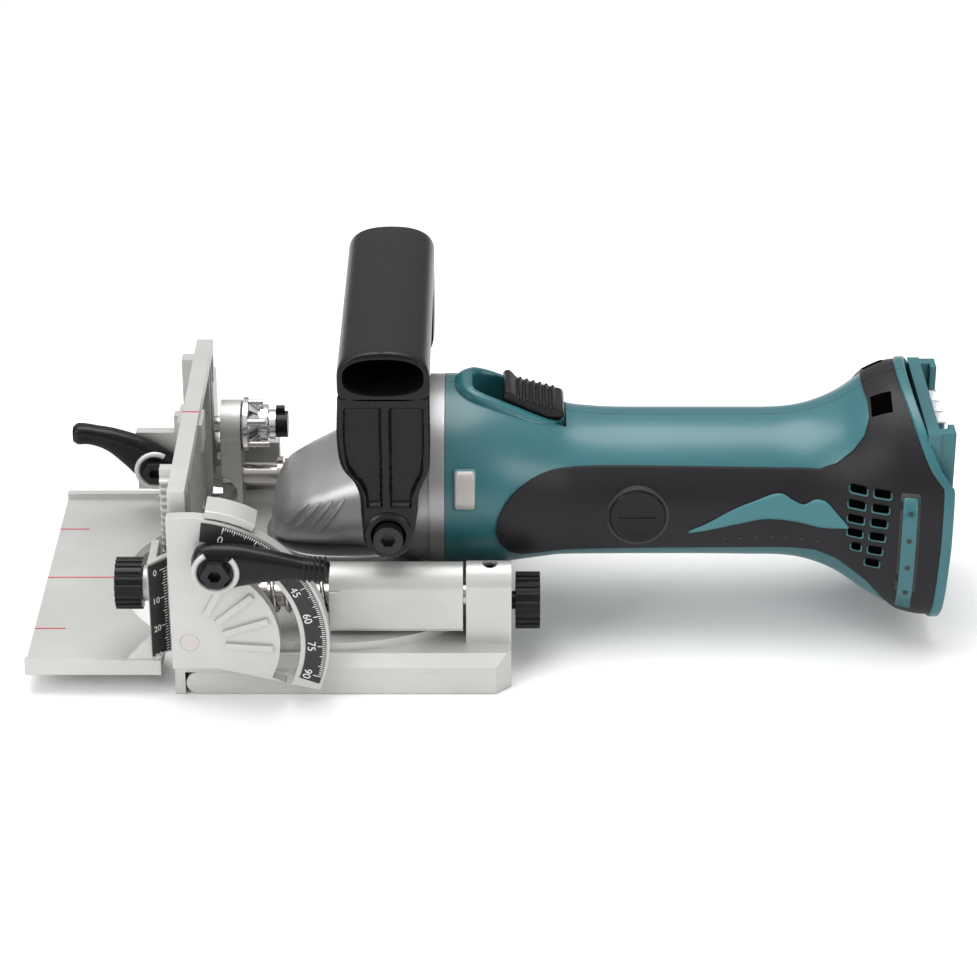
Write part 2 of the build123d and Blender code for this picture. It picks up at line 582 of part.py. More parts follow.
CONE = math.atan2(GEAR_R, BEVEL_R)
PITCH_LENGTH = math.hypot(GEAR_R, BEVEL_R)
FACE = 6.0
with BuildPart() as bevel_gear:
    with BuildSketch(Plane.XZ):
        with BuildLine():
            Polyline(
                (BLADE_X + 6, 34), (BLADE_X + 18.5, 36), (BLADE_X + 18.9, MOTOR_Z - BEVEL_R - 1.1),
                (BLADE_X + 13.1, MOTOR_Z - BEVEL_R * 13.2 / GEAR_R - 1.1), (BLADE_X + 12.6, 41.0),
                (BLADE_X + 6, 41.0), close=True,
            )
        make_face()
    revolve(axis=Axis((BLADE_X, 0, 0), (0, 0, 1)))
    for tooth in range(GEAR_TEETH):
        turn = 2 * math.pi * (tooth + 0.5) / GEAR_TEETH
        along = Vector(
            math.sin(CONE) * math.cos(turn), math.sin(CONE) * math.sin(turn), -math.cos(CONE)
        )
        up = Vector(math.cos(CONE) * math.cos(turn), math.cos(CONE) * math.sin(turn), math.sin(CONE))
        spot = Vector(BLADE_X, 0, MOTOR_Z) + along * (PITCH_LENGTH - FACE / 2) - up * 0.35
        with Locations(Plane(origin=spot, x_dir=along, z_dir=up).location):
            Box(FACE, 0.65, 1.8)
    for spot in range(4):
        turn = math.radians(90 * spot) + math.atan2(9.8, 5)
        rod_z(BLADE_X + 11 * math.cos(turn), 11 * math.sin(turn), (30, 50), 2.4, Mode.SUBTRACT)
save(bevel_gear, "bevel_gear")

with BuildPart() as inner_flange:
    rod_z(BLADE_X, 0, (11.3, 18), 8.5)
    rod_z(BLADE_X, 0, (11.3, 14), 15.0)
    rod_z(BLADE_X, 0, (11, 19), 6.0, Mode.SUBTRACT)
    rod_z(BLADE_X, 0, (14.0, 19), 8.4, Mode.SUBTRACT)
    rod_z(BLADE_X, 0, (14.0, 19.9), 8.0)
    rod_z(BLADE_X, 0, (14.0, 19.9), 6.0, Mode.SUBTRACT)
save(inner_flange, "inner_flange")

with BuildPart() as cutter:
    with BuildSketch(Plane.XY.offset(BLADE_Z - BLADE_CORE / 2)):
        with Locations((BLADE_X, 0)):
            Circle(46)
            Circle(11, mode=Mode.SUBTRACT)
            with PolarLocations(44, 6, start_angle=8):
                Rectangle(10, 8, mode=Mode.SUBTRACT)
            with PolarLocations(28, 6):
                Circle(4, mode=Mode.SUBTRACT)
    extrude(amount=BLADE_CORE)
    with BuildSketch(Plane.XY.offset(BLADE_Z - TOOTH_W / 2)):
        with Locations((BLADE_X, 0)):
            with PolarLocations(46, 6):
                Rectangle(7.6, 3)
    extrude(amount=TOOTH_W)
save(cutter, "cutter")

with BuildPart() as cutter_lock_nut:
    rod_z(BLADE_X, 0, (3, 8.6), 14.0)
    rod_z(BLADE_X, 0, (8.6, 11.3), 11.0)
    rod_z(BLADE_X, 0, (2, 12), 6.0, Mode.SUBTRACT)
    for side in (-1, 1):
        rod_z(BLADE_X + side * 10, 0, (2, 6), 1.8, Mode.SUBTRACT)
save(cutter_lock_nut, "cutter_lock_nut")

# ---------------------------------------------------------------- motor
with BuildPart() as armature_shaft:
    rod_x((59, 163), 0, MOTOR_Z, 3.0)
    rod_x((69, 161), 0, MOTOR_Z, 4.0)
save(armature_shaft, "armature_shaft")

with BuildPart() as bevel_pinion:
    with BuildSketch(Plane.XZ):
        with BuildLine():
            Polyline(
                (60.4, MOTOR_Z + 3), (60.4, MOTOR_Z + 3.1), (65.8, MOTOR_Z + 4.1),
                (68.9, MOTOR_Z + 4.1), (68.9, MOTOR_Z + 3), close=True,
            )
        make_face()
    revolve(axis=Axis((0, 0, MOTOR_Z), (1, 0, 0)))
    for tooth in range(BEVEL_TEETH):
        turn = -math.pi / 2 + 2 * math.pi * tooth / BEVEL_TEETH
        half = math.pi / 2 - CONE
        along = Vector(math.cos(half), math.sin(half) * math.cos(turn), math.sin(half) * math.sin(turn))
        up = Vector(-math.sin(half), math.cos(half) * math.cos(turn), math.cos(half) * math.sin(turn))
        spot = Vector(BLADE_X, 0, MOTOR_Z) + along * (PITCH_LENGTH - FACE / 2) - up * 0.35
        with Locations(Plane(origin=spot, x_dir=along, z_dir=up).location):
            Box(FACE, 0.65, 1.8)
    rod_x((55, 72), 0, MOTOR_Z, 3.0, Mode.SUBTRACT)
save(bevel_pinion, "bevel_pinion")

with BuildPart() as cooling_fan:
    rod_x((84, 94), 0, MOTOR_Z, 8.0)
    rod_x((84, 85.5), 0, MOTOR_Z, 23.0)
    for blade in range(16):
        turn = 22.5 * blade
        with Locations(Location((89.5, 0, MOTOR_Z), (turn, 0, 0))):
            with Locations((0, 14.5, 0)):
                Box(9, 15.5, 1.2)
    rod_x((83, 95), 0, MOTOR_Z, 4.0, Mode.SUBTRACT)
save(cooling_fan, "cooling_fan")

with BuildPart() as armature_core:
    with BuildSketch(Plane.YZ.offset(104)):
        with Locations((0, MOTOR_Z)):
            Circle(14.8)
            Circle(4, mode=Mode.SUBTRACT)
            with PolarLocations(12, 12):
                Rectangle(8, 2.4, mode=Mode.SUBTRACT)
    extrude(amount=28)
save(armature_core, "armature_core")

with BuildPart() as commutator:
    with BuildSketch(Plane.YZ.offset(136)):
        with Locations((0, MOTOR_Z)):
            Circle(10.5)
            Circle(4, mode=Mode.SUBTRACT)
            with PolarLocations(10.2, 24):
                Rectangle(1.6, 0.5, mode=Mode.SUBTRACT)
    extrude(amount=14)
save(commutator, "commutator")

with BuildPart() as motor_bearings:
    bearing(70.2, 76.0, 4.05, 13.0, "x")
    bearing(154.0, 160.0, 4.05, 9.5, "x")
save(motor_bearings, "motor_bearings")

with BuildPart() as motor_yoke:
    rod_x((99, 136), 0, MOTOR_Z, 18.7)
    rod_x((98, 137), 0, MOTOR_Z, 17.4, Mode.SUBTRACT)
save(motor_yoke, "motor_yoke")

with BuildPart() as field_magnets:
    for side in (-1, 1):
        with BuildSketch(Plane.YZ.offset(102)):
            with Locations((0, MOTOR_Z)):
                Circle(17.4)
                Circle(15.2, mode=Mode.SUBTRACT)
                Rectangle(60, 14, mode=Mode.SUBTRACT)
                with Locations((0, -side * 25)):
                    Rectangle(60, 50, mode=Mode.SUBTRACT)
        extrude(amount=32)
save(field_magnets, "field_magnets")

with BuildPart() as brush_holders:
    for side in (-1, 1):
        box((BRUSH_X - 4.5, BRUSH_X + 4.5), sorted((side * 12, side * 21)), (42, 52))
        box((BRUSH_X - 3, BRUSH_X + 3), sorted((side * 11, side * 22)), (44, 50), Mode.SUBTRACT)
save(brush_holders, "brush_holders")

with BuildPart() as carbon_brushes:
    for side in (-1, 1):
        box((BRUSH_X - 3, BRUSH_X + 3), sorted((side * 10.6, side * 20)), (44, 50))
    rod_x((130, 160), 0, MOTOR_Z, 10.56, Mode.SUBTRACT)
save(carbon_brushes, "carbon_brushes")

with BuildPart() as brush_caps:
    for side in (-1, 1):
        rod_y(BRUSH_X, sorted((side * 21.2, side * 26.4)), MOTOR_Z - 0.4, 9.3)
        box((BRUSH_X - 7, BRUSH_X + 7), sorted((side * 25.4, side * 27)), (46, 47.2), Mode.SUBTRACT)
save(brush_caps, "brush_caps")

# ---------------------------------------------------------------- motor housing
# each section is X, half width, bottom, top and corner radius
SECTIONS = (
    (HOUSING_FRONT_X, 31.6, 19.8, 83.0, 26.0),
    (108.0, 31.2, 20.2, 82.4, 26.0),
    (126.0, 25.2, 22.2, 72.8, 20.0),
    (165.0, 24.6, 22.4, 71.6, 20.0),
    (204.0, 25.2, 21.4, 73.0, 20.0),
    (224.0, 33.0, 13.0, 84.0, 17.0),
    (HOUSING_REAR_X, 36.0, 10.0, 84.0, 12.0),
)


def housing_solid(grow, mode=Mode.ADD):
    """The whole motor housing as a solid, with every section grown outwards by one amount."""
    rings = []
    for x, half, low, high, corner in SECTIONS:
        with BuildSketch(Plane.YZ.offset(x)) as ring:
            with Locations((0, (low + high) / 2)):
                RectangleRounded(2 * (half + grow), high - low + 2 * grow, corner + grow)
        rings.append(ring.sketch)
    loft(rings, mode=mode)


def switch_bezel(mode=Mode.ADD):
    """The raised frame round the slide switch."""
    with BuildSketch(Plane.XY.offset(70)) as rim:
        with Locations((102.5, 0)):
            SlotOverall(38, 27)
    extrude(rim.sketch, amount=15.2, mode=mode)


HALVES = ((-1, "left"), (1, "right"))
for side, hand in HALVES:
    with BuildPart() as motor_housing:
        housing_solid(0)
        switch_bezel()
        box((0, 300), sorted((0, -side * 60)), (-20, 120), Mode.SUBTRACT)
        housing_solid(-WALL, Mode.SUBTRACT)
        box((HOUSING_FRONT_X - 1, HOUSING_FRONT_X + WALL), (-26, 26), (28, 72), Mode.SUBTRACT)
        box((90, 120.4), (-9.2, 9.2), (66, 90), Mode.SUBTRACT)
        rod_y(BRUSH_X, (-40, 40), MOTOR_Z - 0.4, 9.35, Mode.SUBTRACT)
        box((84, 91), (-40, -26), (52, 65), Mode.SUBTRACT)
        box((HOUSING_REAR_X - 4, HOUSING_REAR_X + 1), (-30, 30), (16, 78), Mode.SUBTRACT)
    save(motor_housing, f"motor_housing_{hand}")

GRIP_OUTLINE = (
    (99, 50), (108, 58.5), (126, 61), (160, 60), (196, 61), (210, 70), (221, 86), (231, 86), (236, 66),
    (238, 40), (236, 14), (222, 13), (208, 22), (190, 27), (112, 27), (102, 32),
)
for side, hand in HALVES:
    with BuildPart() as grip:
        housing_solid(1.2)
        box((0, 300), sorted((side * 12, -side * 60)), (-20, 120), Mode.SUBTRACT)
        housing_solid(0.0, Mode.SUBTRACT)
        with BuildSketch(Plane.XZ.offset(60)):
            with BuildLine():
                Polyline(*GRIP_OUTLINE, close=True)
            make_face()
        extrude(amount=-120, mode=Mode.INTERSECT)
        rod_y(BRUSH_X, (-40, 40), MOTOR_Z - 0.4, 9.35, Mode.SUBTRACT)
        switch_bezel(Mode.SUBTRACT)
    save(grip, f"grip_overmould_{hand}")

with BuildPart() as lamp_lens:
    housing_solid(0)
    box((84, 91), (-40, -26), (52, 65), Mode.INTERSECT)
save(lamp_lens, "lamp_lens")

with BuildPart() as switch_knob:
    box((100, 120), (-8.6, 8.6), (74, 84.4))
    fillet(switch_knob.edges().filter_by(Axis.Y).group_by(Axis.Z)[-1], 3)
    for x in range(6):
        box((103 + 2.6 * x, 104 + 2.6 * x), (-9, 9), (83.8, 86), Mode.SUBTRACT)
save(switch_knob, "switch_knob")

with BuildPart() as switch_rod:
    box((102.5, 170), (-2.5, 2.5), (66.0, 67.2))
    box((106, 112), (-3, 3), (66.0, 74))
    box((168, 170), (-2.5, 2.5), (60, 67.2))
save(switch_rod, "switch_rod")

with BuildPart() as switch_body:
    box((170.2, 188), (-8, 8), (50, 66))
save(switch_body, "switch_body")

with BuildPart() as motor_controller:
    box((192, 212), (-14, 14), (34, 50))
save(motor_controller, "motor_controller")

with BuildPart() as housing_screws:
    for x, z in ((97, 25.2), (150, 29), (180, 29), (212, 28), (198, 65)):
        rod_y(x, (-10, 10), z, 1.5)
save(housing_screws, "housing_screws")

with BuildPart() as battery_mount:
    box((HOUSING_REAR_X - 4, HOUSING_REAR_X), (-30, 30), (16, 78))
    for side in (-1, 1):
        box((HOUSING_REAR_X, 245), sorted((side * 25, side * 29)), (20, 78))
        box((243, 245), sorted((side * 22, side * 26)), (20, 78))
save(battery_mount, "battery_mount")

with BuildPart() as battery_contacts:
    for y in (-12, -4, 4, 12):
        box((HOUSING_REAR_X, 244), (y - 0.5, y + 0.5), (62, 74))
save(battery_contacts, "battery_contacts")

# ---------------------------------------------------------------- auxiliary handle
GRIP_LOW, GRIP_TOP = 99.0, 117.0
with BuildPart() as handle:
    with BuildSketch(Plane.XZ.offset(-47)):
        with Locations(((48 + 77) / 2, (GRIP_LOW + GRIP_TOP) / 2)):
            RectangleRounded(29, GRIP_TOP - GRIP_LOW, 8)
    extrude(amount=94)
    for side in (-1, 1):
        leg = sorted((side * 44.6, side * 52))
        with BuildSketch(Plane.XZ.offset(-leg[1])):
            with BuildLine():
                Polyline(
                    (48, 106), (77, 106), (77, 78), (72.5, 70), (71.5, HANDLE_Z),
                    (55.5, HANDLE_Z), (54, 70), (49.5, 78), close=True,
                )
            make_face()
            with Locations((HANDLE_X, HANDLE_Z)):
                Circle(8)
        extrude(amount=leg[1] - leg[0])
        with BuildSketch(Plane.XZ.offset(-side * 30)):
            with Locations(((48 + 77) / 2, (GRIP_LOW + GRIP_TOP) / 2)):
                RectangleRounded(24, 12, 5.5)
        extrude(amount=-side * 30, mode=Mode.SUBTRACT)
        rod_y(HANDLE_X, sorted((side * 40, side * 56)), HANDLE_Z, 3.0, Mode.SUBTRACT)
save(handle, "handle")

with BuildPart() as handle_bolts:
    for side in (-1, 1):
        rod_y(HANDLE_X, sorted((side * 34, side * 52)), HANDLE_Z, 3.0)
        rod_y(HANDLE_X, sorted((side * 52, side * 56)), HANDLE_Z, 4.7)
        with BuildSketch(Plane.XZ.offset(-side * 56)):
            with Locations((HANDLE_X, HANDLE_Z)):
                RegularPolygon(2.4, 6)
        extrude(amount=side * 2.5, mode=Mode.SUBTRACT)
save(handle_bolts, "handle_bolts")
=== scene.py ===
"""Looks of the biscuit joiner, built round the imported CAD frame. Lengths are in metres."""
import json
import math

import bmesh
import bpy
import numpy as np
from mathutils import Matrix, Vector


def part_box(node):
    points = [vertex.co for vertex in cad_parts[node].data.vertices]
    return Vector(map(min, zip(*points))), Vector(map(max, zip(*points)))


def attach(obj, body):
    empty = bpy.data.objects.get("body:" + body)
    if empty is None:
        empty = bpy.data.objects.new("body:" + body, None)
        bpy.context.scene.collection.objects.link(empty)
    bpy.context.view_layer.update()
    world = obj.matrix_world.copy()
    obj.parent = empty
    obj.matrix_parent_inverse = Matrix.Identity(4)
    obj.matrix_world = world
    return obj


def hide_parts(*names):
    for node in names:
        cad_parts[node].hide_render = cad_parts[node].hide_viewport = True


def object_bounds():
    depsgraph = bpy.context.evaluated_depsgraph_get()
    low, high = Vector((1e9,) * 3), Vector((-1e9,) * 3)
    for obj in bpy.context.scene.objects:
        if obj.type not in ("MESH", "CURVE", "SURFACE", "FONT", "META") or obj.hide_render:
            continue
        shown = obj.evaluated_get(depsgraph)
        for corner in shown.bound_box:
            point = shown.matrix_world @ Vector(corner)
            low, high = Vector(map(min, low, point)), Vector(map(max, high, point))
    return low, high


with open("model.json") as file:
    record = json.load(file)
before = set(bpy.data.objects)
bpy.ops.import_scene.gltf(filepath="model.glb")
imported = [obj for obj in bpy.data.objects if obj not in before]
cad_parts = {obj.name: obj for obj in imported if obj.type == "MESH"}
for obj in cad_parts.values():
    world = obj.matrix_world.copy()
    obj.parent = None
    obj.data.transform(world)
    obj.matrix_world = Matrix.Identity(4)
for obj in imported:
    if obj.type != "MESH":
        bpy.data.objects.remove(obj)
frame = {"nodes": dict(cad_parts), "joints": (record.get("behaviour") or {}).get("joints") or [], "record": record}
cad_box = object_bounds()

MM = 0.001
SIDES = ((-1, "left"), (1, "right"))

# ---------------------------------------------------------------- materials


def link(tree, a, out, b, into):
    tree.links.new(a.outputs[out], b.inputs[into])


def surface(name, colour, rough=0.5, metal=0.0, grain=900.0, bump=0.12, vary=0.12, edge_highlight=0.0,
            bevel=0.25, coat=0.0, brushed=None, specular=0.5):
    """A procedural finish: mottled colour, uneven gloss, fine grain and edges lightened by a painted highlight."""
    mat = bpy.data.materials.new(name)
    mat.use_nodes = True
    tree = mat.node_tree
    new = tree.nodes.new
    bsdf = tree.nodes["Principled BSDF"]
    coord = new("ShaderNodeTexCoord")
    mapping = new("ShaderNodeMapping")
    link(tree, coord, "Object", mapping, "Vector")
    if brushed:
        mapping.inputs["Scale"].default_value = brushed
    cloud = new("ShaderNodeTexNoise")
    cloud.inputs["Scale"].default_value = 55.0
    cloud.inputs["Detail"].default_value = 5.0
    link(tree, coord, "Object", cloud, "Vector")
    fine = new("ShaderNodeTexNoise")
    fine.inputs["Scale"].default_value = grain
    fine.inputs["Detail"].default_value = 3.0
    link(tree, mapping, "Vector", fine, "Vector")
    ramp = new("ShaderNodeValToRGB")
    ramp.color_ramp.elements[0].position = 0.3
    ramp.color_ramp.elements[1].position = 0.72
    low = [max(c * (1 - vary), 0) for c in colour]
    high = [min(c * (1 + vary), 1) for c in colour]
    ramp.color_ramp.elements[0].color = (*low, 1)
    ramp.color_ramp.elements[1].color = (*high, 1)
    link(tree, cloud, "Fac", ramp, "Fac")
    rounded = new("ShaderNodeBevel")
    rounded.samples = 4
    rounded.inputs["Radius"].default_value = bevel * MM
    geometry = new("ShaderNodeNewGeometry")
    dot = new("ShaderNodeVectorMath")
    dot.operation = "DOT_PRODUCT"
    link(tree, rounded, "Normal", dot, 0)
    link(tree, geometry, "Normal", dot, 1)
    # painted edge highlight: where the rounded normal turns from the true normal, the colour is lifted towards a paler
    # copy of itself
    edge = new("ShaderNodeMapRange")
    edge.inputs["From Min"].default_value = 1.0
    edge.inputs["From Max"].default_value = 0.75
    edge.inputs["To Max"].default_value = edge_highlight
    link(tree, dot, "Value", edge, "Value")
    edge_highlight_mix = new("ShaderNodeMixRGB")
    edge_highlight_mix.inputs["Color2"].default_value = (*[min(c * 1.5 + 0.08, 1) for c in colour], 1)
    link(tree, edge, "Result", edge_highlight_mix, "Fac")
    link(tree, ramp, "Color", edge_highlight_mix, "Color1")
    link(tree, edge_highlight_mix, "Color", bsdf, "Base Color")
    gloss = new("ShaderNodeMapRange")
    gloss.inputs["To Min"].default_value = max(rough - 0.08, 0.03)
    gloss.inputs["To Max"].default_value = min(rough + 0.1, 1)
    link(tree, fine, "Fac", gloss, "Value")
    link(tree, gloss, "Result", bsdf, "Roughness")
    relief = new("ShaderNodeBump")
    relief.inputs["Strength"].default_value = bump
    relief.inputs["Distance"].default_value = 0.12 * MM
    link(tree, fine, "Fac", relief, "Height")
    link(tree, rounded, "Normal", relief, "Normal")
    link(tree, relief, "Normal", bsdf, "Normal")
    bsdf.inputs["Metallic"].default_value = metal
    bsdf.inputs["Specular IOR Level"].default_value = specular
    bsdf.inputs["Coat Weight"].default_value = coat
    bsdf.inputs["Coat Roughness"].default_value = 0.25
    return mat


# each finish below sets how strongly its edges are lightened by the painted edge highlight
TEAL = surface("teal_plastic", (0.017, 0.112, 0.128), 0.33, grain=1500, bump=0.10, vary=0.05, edge_highlight=0.1, coat=0.15)
TEAL_INLAY = surface("teal_inlay", (0.035, 0.155, 0.172), 0.5, grain=1500, bump=0.1, vary=0.04)
RUBBER = surface("grip_rubber", (0.008, 0.007, 0.009), 0.42, grain=2200, bump=0.2, vary=0.12,
                 specular=0.25)
BLACK = surface("black_plastic", (0.004, 0.004, 0.0045), 0.28, grain=1300, bump=0.15, vary=0.15, edge_highlight=0.1,
                specular=0.25)
CAST = surface("cast_silver", (0.50, 0.50, 0.48), 0.40, 0.45, grain=1000, bump=0.16, vary=0.05, edge_highlight=0.25)
GEAR = surface("gear_case_silver", (0.33, 0.33, 0.335), 0.34, 0.65, grain=800, bump=0.22, vary=0.06, edge_highlight=0.3)
# painted shade: a darker copy of the gear case silver, for the bearing box under the gear case where shade falls
GEAR_SHADED = surface("gear_case_painted_shade", (0.13, 0.13, 0.135), 0.40, 0.55, grain=800, bump=0.22, vary=0.08, edge_highlight=0.3)
STEEL = surface("ground_steel", (0.50, 0.47, 0.45), 0.22, 1.0, grain=400, bump=0.06, vary=0.06,
                brushed=(0.15, 1.0, 1.0))
CHROME = surface("chromed_steel", (0.74, 0.74, 0.76), 0.09, 1.0, grain=300, bump=0.03, vary=0.03)
OXIDE = surface("black_oxide", (0.02, 0.02, 0.022), 0.34, 0.6, grain=600, bump=0.1, vary=0.2, edge_highlight=0.3)
SCALE = surface("scale_black", (0.014, 0.014, 0.014), 0.5, 0.0, grain=1500, bump=0.06, vary=0.1)
WHITE = surface("scale_white", (0.80, 0.80, 0.80), 0.5, 0.0, grain=1500, bump=0.03, vary=0.03)
RED = surface("red_mark", (0.45, 0.03, 0.07), 0.5, 0.0, grain=1500, bump=0.05, vary=0.12)
LENS = surface("frosted_lens", (0.40, 0.37, 0.35), 0.3, 0.0, grain=500, bump=0.3, vary=0.12, coat=0.6)
COPPER = surface("copper", (0.62, 0.30, 0.14), 0.25, 1.0, grain=400, bump=0.06, vary=0.1)
# dark matte grey: carbon brushes, small dots and the switch well, and painted shade in the grooves round the rear
# strips and brush caps
CARBON_AND_GROOVE_SHADE = surface("carbon", (0.02, 0.02, 0.02), 0.6, 0.0, grain=800, bump=0.2, vary=0.2)
VOID = surface("shadow_black", (0.001, 0.001, 0.001), 0.9, grain=800, bump=0.05, vary=0.1, specular=0.0)
MAGNET = surface("magnet_grey", (0.06, 0.06, 0.065), 0.5, 0.5, grain=800, bump=0.2, vary=0.2)

FINISH = {
    "cast_silver": CAST, "gear_silver": GEAR, "steel": STEEL, "chrome": CHROME,
    "teal_plastic": TEAL, "black_plastic": BLACK, "grip_rubber": RUBBER, "scale_black": SCALE,
    "lens": LENS, "copper": COPPER, "carbon": CARBON_AND_GROOVE_SHADE, "magnet": MAGNET, "screw_black": OXIDE,
}
for entry in frame["record"]["subparts"]:
    node = frame["nodes"][entry["node"]]
    node.data.materials.clear()
    node.data.materials.append(FINISH[entry["material_slot"]])
# the bearing box takes the darker gear case copy as painted shade
frame["nodes"]["bearing_box"].data.materials[0] = GEAR_SHADED
frame["nodes"]["battery_contacts"].data.materials[0] = CHROME
frame["nodes"]["battery_mount"].data.materials[0] = TEAL

# ---------------------------------------------------------------- mesh helpers


def finish_piece(mesh, name, mat, body, bevel=0.0, smooth=40.0):
    """Link a bmesh as a piece with its material, edge bevel and body."""
    bmesh.ops.recalc_face_normals(mesh, faces=mesh.faces)
    data = bpy.data.meshes.new(name)
    mesh.to_mesh(data)
    mesh.free()
    piece = bpy.data.objects.new(name, data)
    bpy.context.scene.collection.objects.link(piece)
    data.materials.append(mat)
    data.shade_smooth()
    data.set_sharp_from_angle(angle=math.radians(smooth))
    if bevel:
        mod = piece.modifiers.new("edges", "BEVEL")
        mod.width = bevel * MM
        mod.segments = 3
        mod.limit_method = "ANGLE"
        mod.angle_limit = math.radians(35)
        mod.harden_normals = False
    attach(piece, body)
    return piece


def sheet(points, close_u=False):
    """A bmesh grid from rows of points in millimetres."""
    mesh = bmesh.new()
    rows = [[mesh.verts.new(Vector(p) * MM) for p in row] for row in points]
    for a, b in zip(rows, rows[1:]):
        last = len(a) if close_u else len(a) - 1
        for i in range(last):
            j = (i + 1) % len(a)
            mesh.faces.new((a[i], a[j], b[j], b[i]))
    return mesh, rows


def loft(rings, cap=True):
    """A closed tube through rings of points, with flat ends."""
    mesh, rows = sheet(rings, close_u=True)
    if cap:
        mesh.faces.new(rows[0])
        mesh.faces.new(rows[-1])
    return mesh


def prism(outline, low, high, axis="y"):
    """An outline of pairs extruded between low and high along one axis."""
    place = {"y": lambda p, t: (p[0], t, p[1]), "z": lambda p, t: (p[0], p[1], t),
             "x": lambda p, t: (t, p[0], p[1])}[axis]
    return loft([[place(p, low) for p in outline], [place(p, high) for p in outline]])


def turned(profile, centre, axis="x", steps=48):
    """A turned shape: (distance along the axis, radius) pairs about an axis through centre."""
    rings = []
    for t, r in profile:
        ring = []
        for k in range(steps):
            a, b = r * math.cos(2 * math.pi * k / steps), r * math.sin(2 * math.pi * k / steps)
            ring.append((t, centre[0] + a, centre[1] + b) if axis == "x" else (centre[0] + a, t, centre[1] + b))
        rings.append(ring)
    return loft(rings)


def oval(centre, half_a, half_b, power=2.0, steps=40):
    """Pairs round a rounded oval; a higher power is squarer."""
    out = []
    for k in range(steps):
        c, s = math.cos(2 * math.pi * k / steps), math.sin(2 * math.pi * k / steps)
        out.append((centre[0] + half_a * math.copysign(abs(c) ** (2 / power), c),
                    centre[1] + half_b * math.copysign(abs(s) ** (2 / power), s)))
    return out


def smooth_table(table, x):
    """Every column of a table at x, by monotone curves between its rows."""
    table = np.array(table, float)
    xs = table[:, 0]
    x = float(np.clip(x, xs[0], xs[-1]))
    i = int(np.clip(np.searchsorted(xs, x) - 1, 0, len(xs) - 2))
    out = []
    for col in range(1, table.shape[1]):
        y = table[:, col]
        slope = np.diff(y) / np.diff(xs)
        m = np.concatenate([[slope[0]], (slope[1:] + slope[:-1]) / 2, [slope[-1]]])
        m[1:-1][slope[1:] * slope[:-1] <= 0] = 0
        h = xs[i + 1] - xs[i]
        t = (x - xs[i]) / h
        out.append((2 * t**3 - 3 * t**2 + 1) * y[i] + (t**3 - 2 * t**2 + t) * h * m[i]
                   + (-2 * t**3 + 3 * t**2) * y[i + 1] + (t**3 - t**2) * h * m[i + 1])
    return out


# ---------------------------------------------------------------- motor housing
# X, half width, bottom, top, squareness of the upper and of the lower half
HOUSING = (
    (81, 31.6, 19.8, 83.0, 2.0, 2.0), (92, 31.4, 20.0, 82.6, 2.0, 2.0), (100, 30.6, 20.4, 80.6, 2.0, 2.0),
    (111, 28.2, 21.8, 76.4, 2.0, 2.0), (119.7, 26.0, 22.6, 73.0, 2.0, 2.0), (128, 25.2, 22.6, 71.8, 2.0, 2.0),
    (150, 24.7, 22.6, 71.3, 2.0, 2.0), (180, 24.7, 22.4, 71.3, 2.0, 2.0), (198, 25.3, 21.6, 72.5, 2.0, 2.05),
    (210, 28.2, 18.0, 77.0, 2.05, 2.3), (219, 32.0, 13.4, 83.0, 2.1, 2.8), (228, 34.6, 10.4, 86.0, 2.2, 3.6),
    (240, 35.8, 9.7, 84.6, 2.5, 4.5), (245, 35.8, 9.7, 84.0, 2.5, 4.5),
)
SEAM = 0.12
# height and X of the housing's rear end
REAR_Z = (9.0, 19.0, 43.0, 61.0, 66.0, 70.0, 79.0, 84.0, 86.0)
REAR_X = (239.5, 240.5, 241.6, 241.6, 237.5, 235.5, 231.5, 229.0, 228.0)


def skin(x, theta, side, grow=0.0):
    """A point on the housing's skin at section angle theta (-90 bottom, 90 top), moved outwards by grow."""
    half, low, high, upper, lower = smooth_table(HOUSING, x)
    power = upper if theta > 0 else lower
    c, s = math.cos(theta), math.sin(theta)
    y = (half + grow) * max(c, 0.0) ** (2 / power)
    z = (low + high) / 2 + ((high - low) / 2 + grow) * math.copysign(abs(s) ** (2 / power), s)
    return (x, side * max(y, SEAM), z)


def skin_point(x, z, side, grow):
    """A point on the skin at height z."""
    half, low, high, upper, lower = smooth_table(HOUSING, x)
    t = np.clip((z - (low + high) / 2) / ((high - low) / 2), -1, 1)
    power = upper if t > 0 else lower
    return skin(x, math.asin(math.copysign(abs(t) ** (power / 2), t)), side, grow)


def top_height(x, y):
    """The height of the skin above a point."""
    half, low, high, upper, _ = smooth_table(HOUSING, x)
    return (low + high) / 2 + (high - low) / 2 * (1 - min(abs(y) / half, 1) ** upper) ** (1 / upper)


def rear_end(theta):
    return float(np.interp(skin(235, theta, 1)[2], REAR_Z, REAR_X))


def thicken(piece, depth, offset=-1.0):
    mod = piece.modifiers.new("wall", "SOLIDIFY")
    mod.thickness = depth * MM
    mod.offset = offset
    mod.use_even_offset = True
    return mod


def carve(piece, tool_mesh, operation="DIFFERENCE"):
    """Combine a piece with a closed mesh and drop the tool."""
    data = bpy.data.meshes.new("tool")
    bmesh.ops.recalc_face_normals(tool_mesh, faces=tool_mesh.faces)
    tool_mesh.to_mesh(data)
    tool_mesh.free()
    tool = bpy.data.objects.new("tool", data)
    bpy.context.scene.collection.objects.link(tool)
    mod = piece.modifiers.new("carve", "BOOLEAN")
    mod.object = tool
    mod.operation = operation
    mod.solver = "EXACT"
    bpy.context.view_layer.update()
    baked = bpy.data.meshes.new_from_object(piece.evaluated_get(bpy.context.evaluated_depsgraph_get()))
    piece.modifiers.clear()
    piece.data = baked
    bpy.data.objects.remove(tool)
    baked.set_sharp_from_angle(angle=math.radians(35))


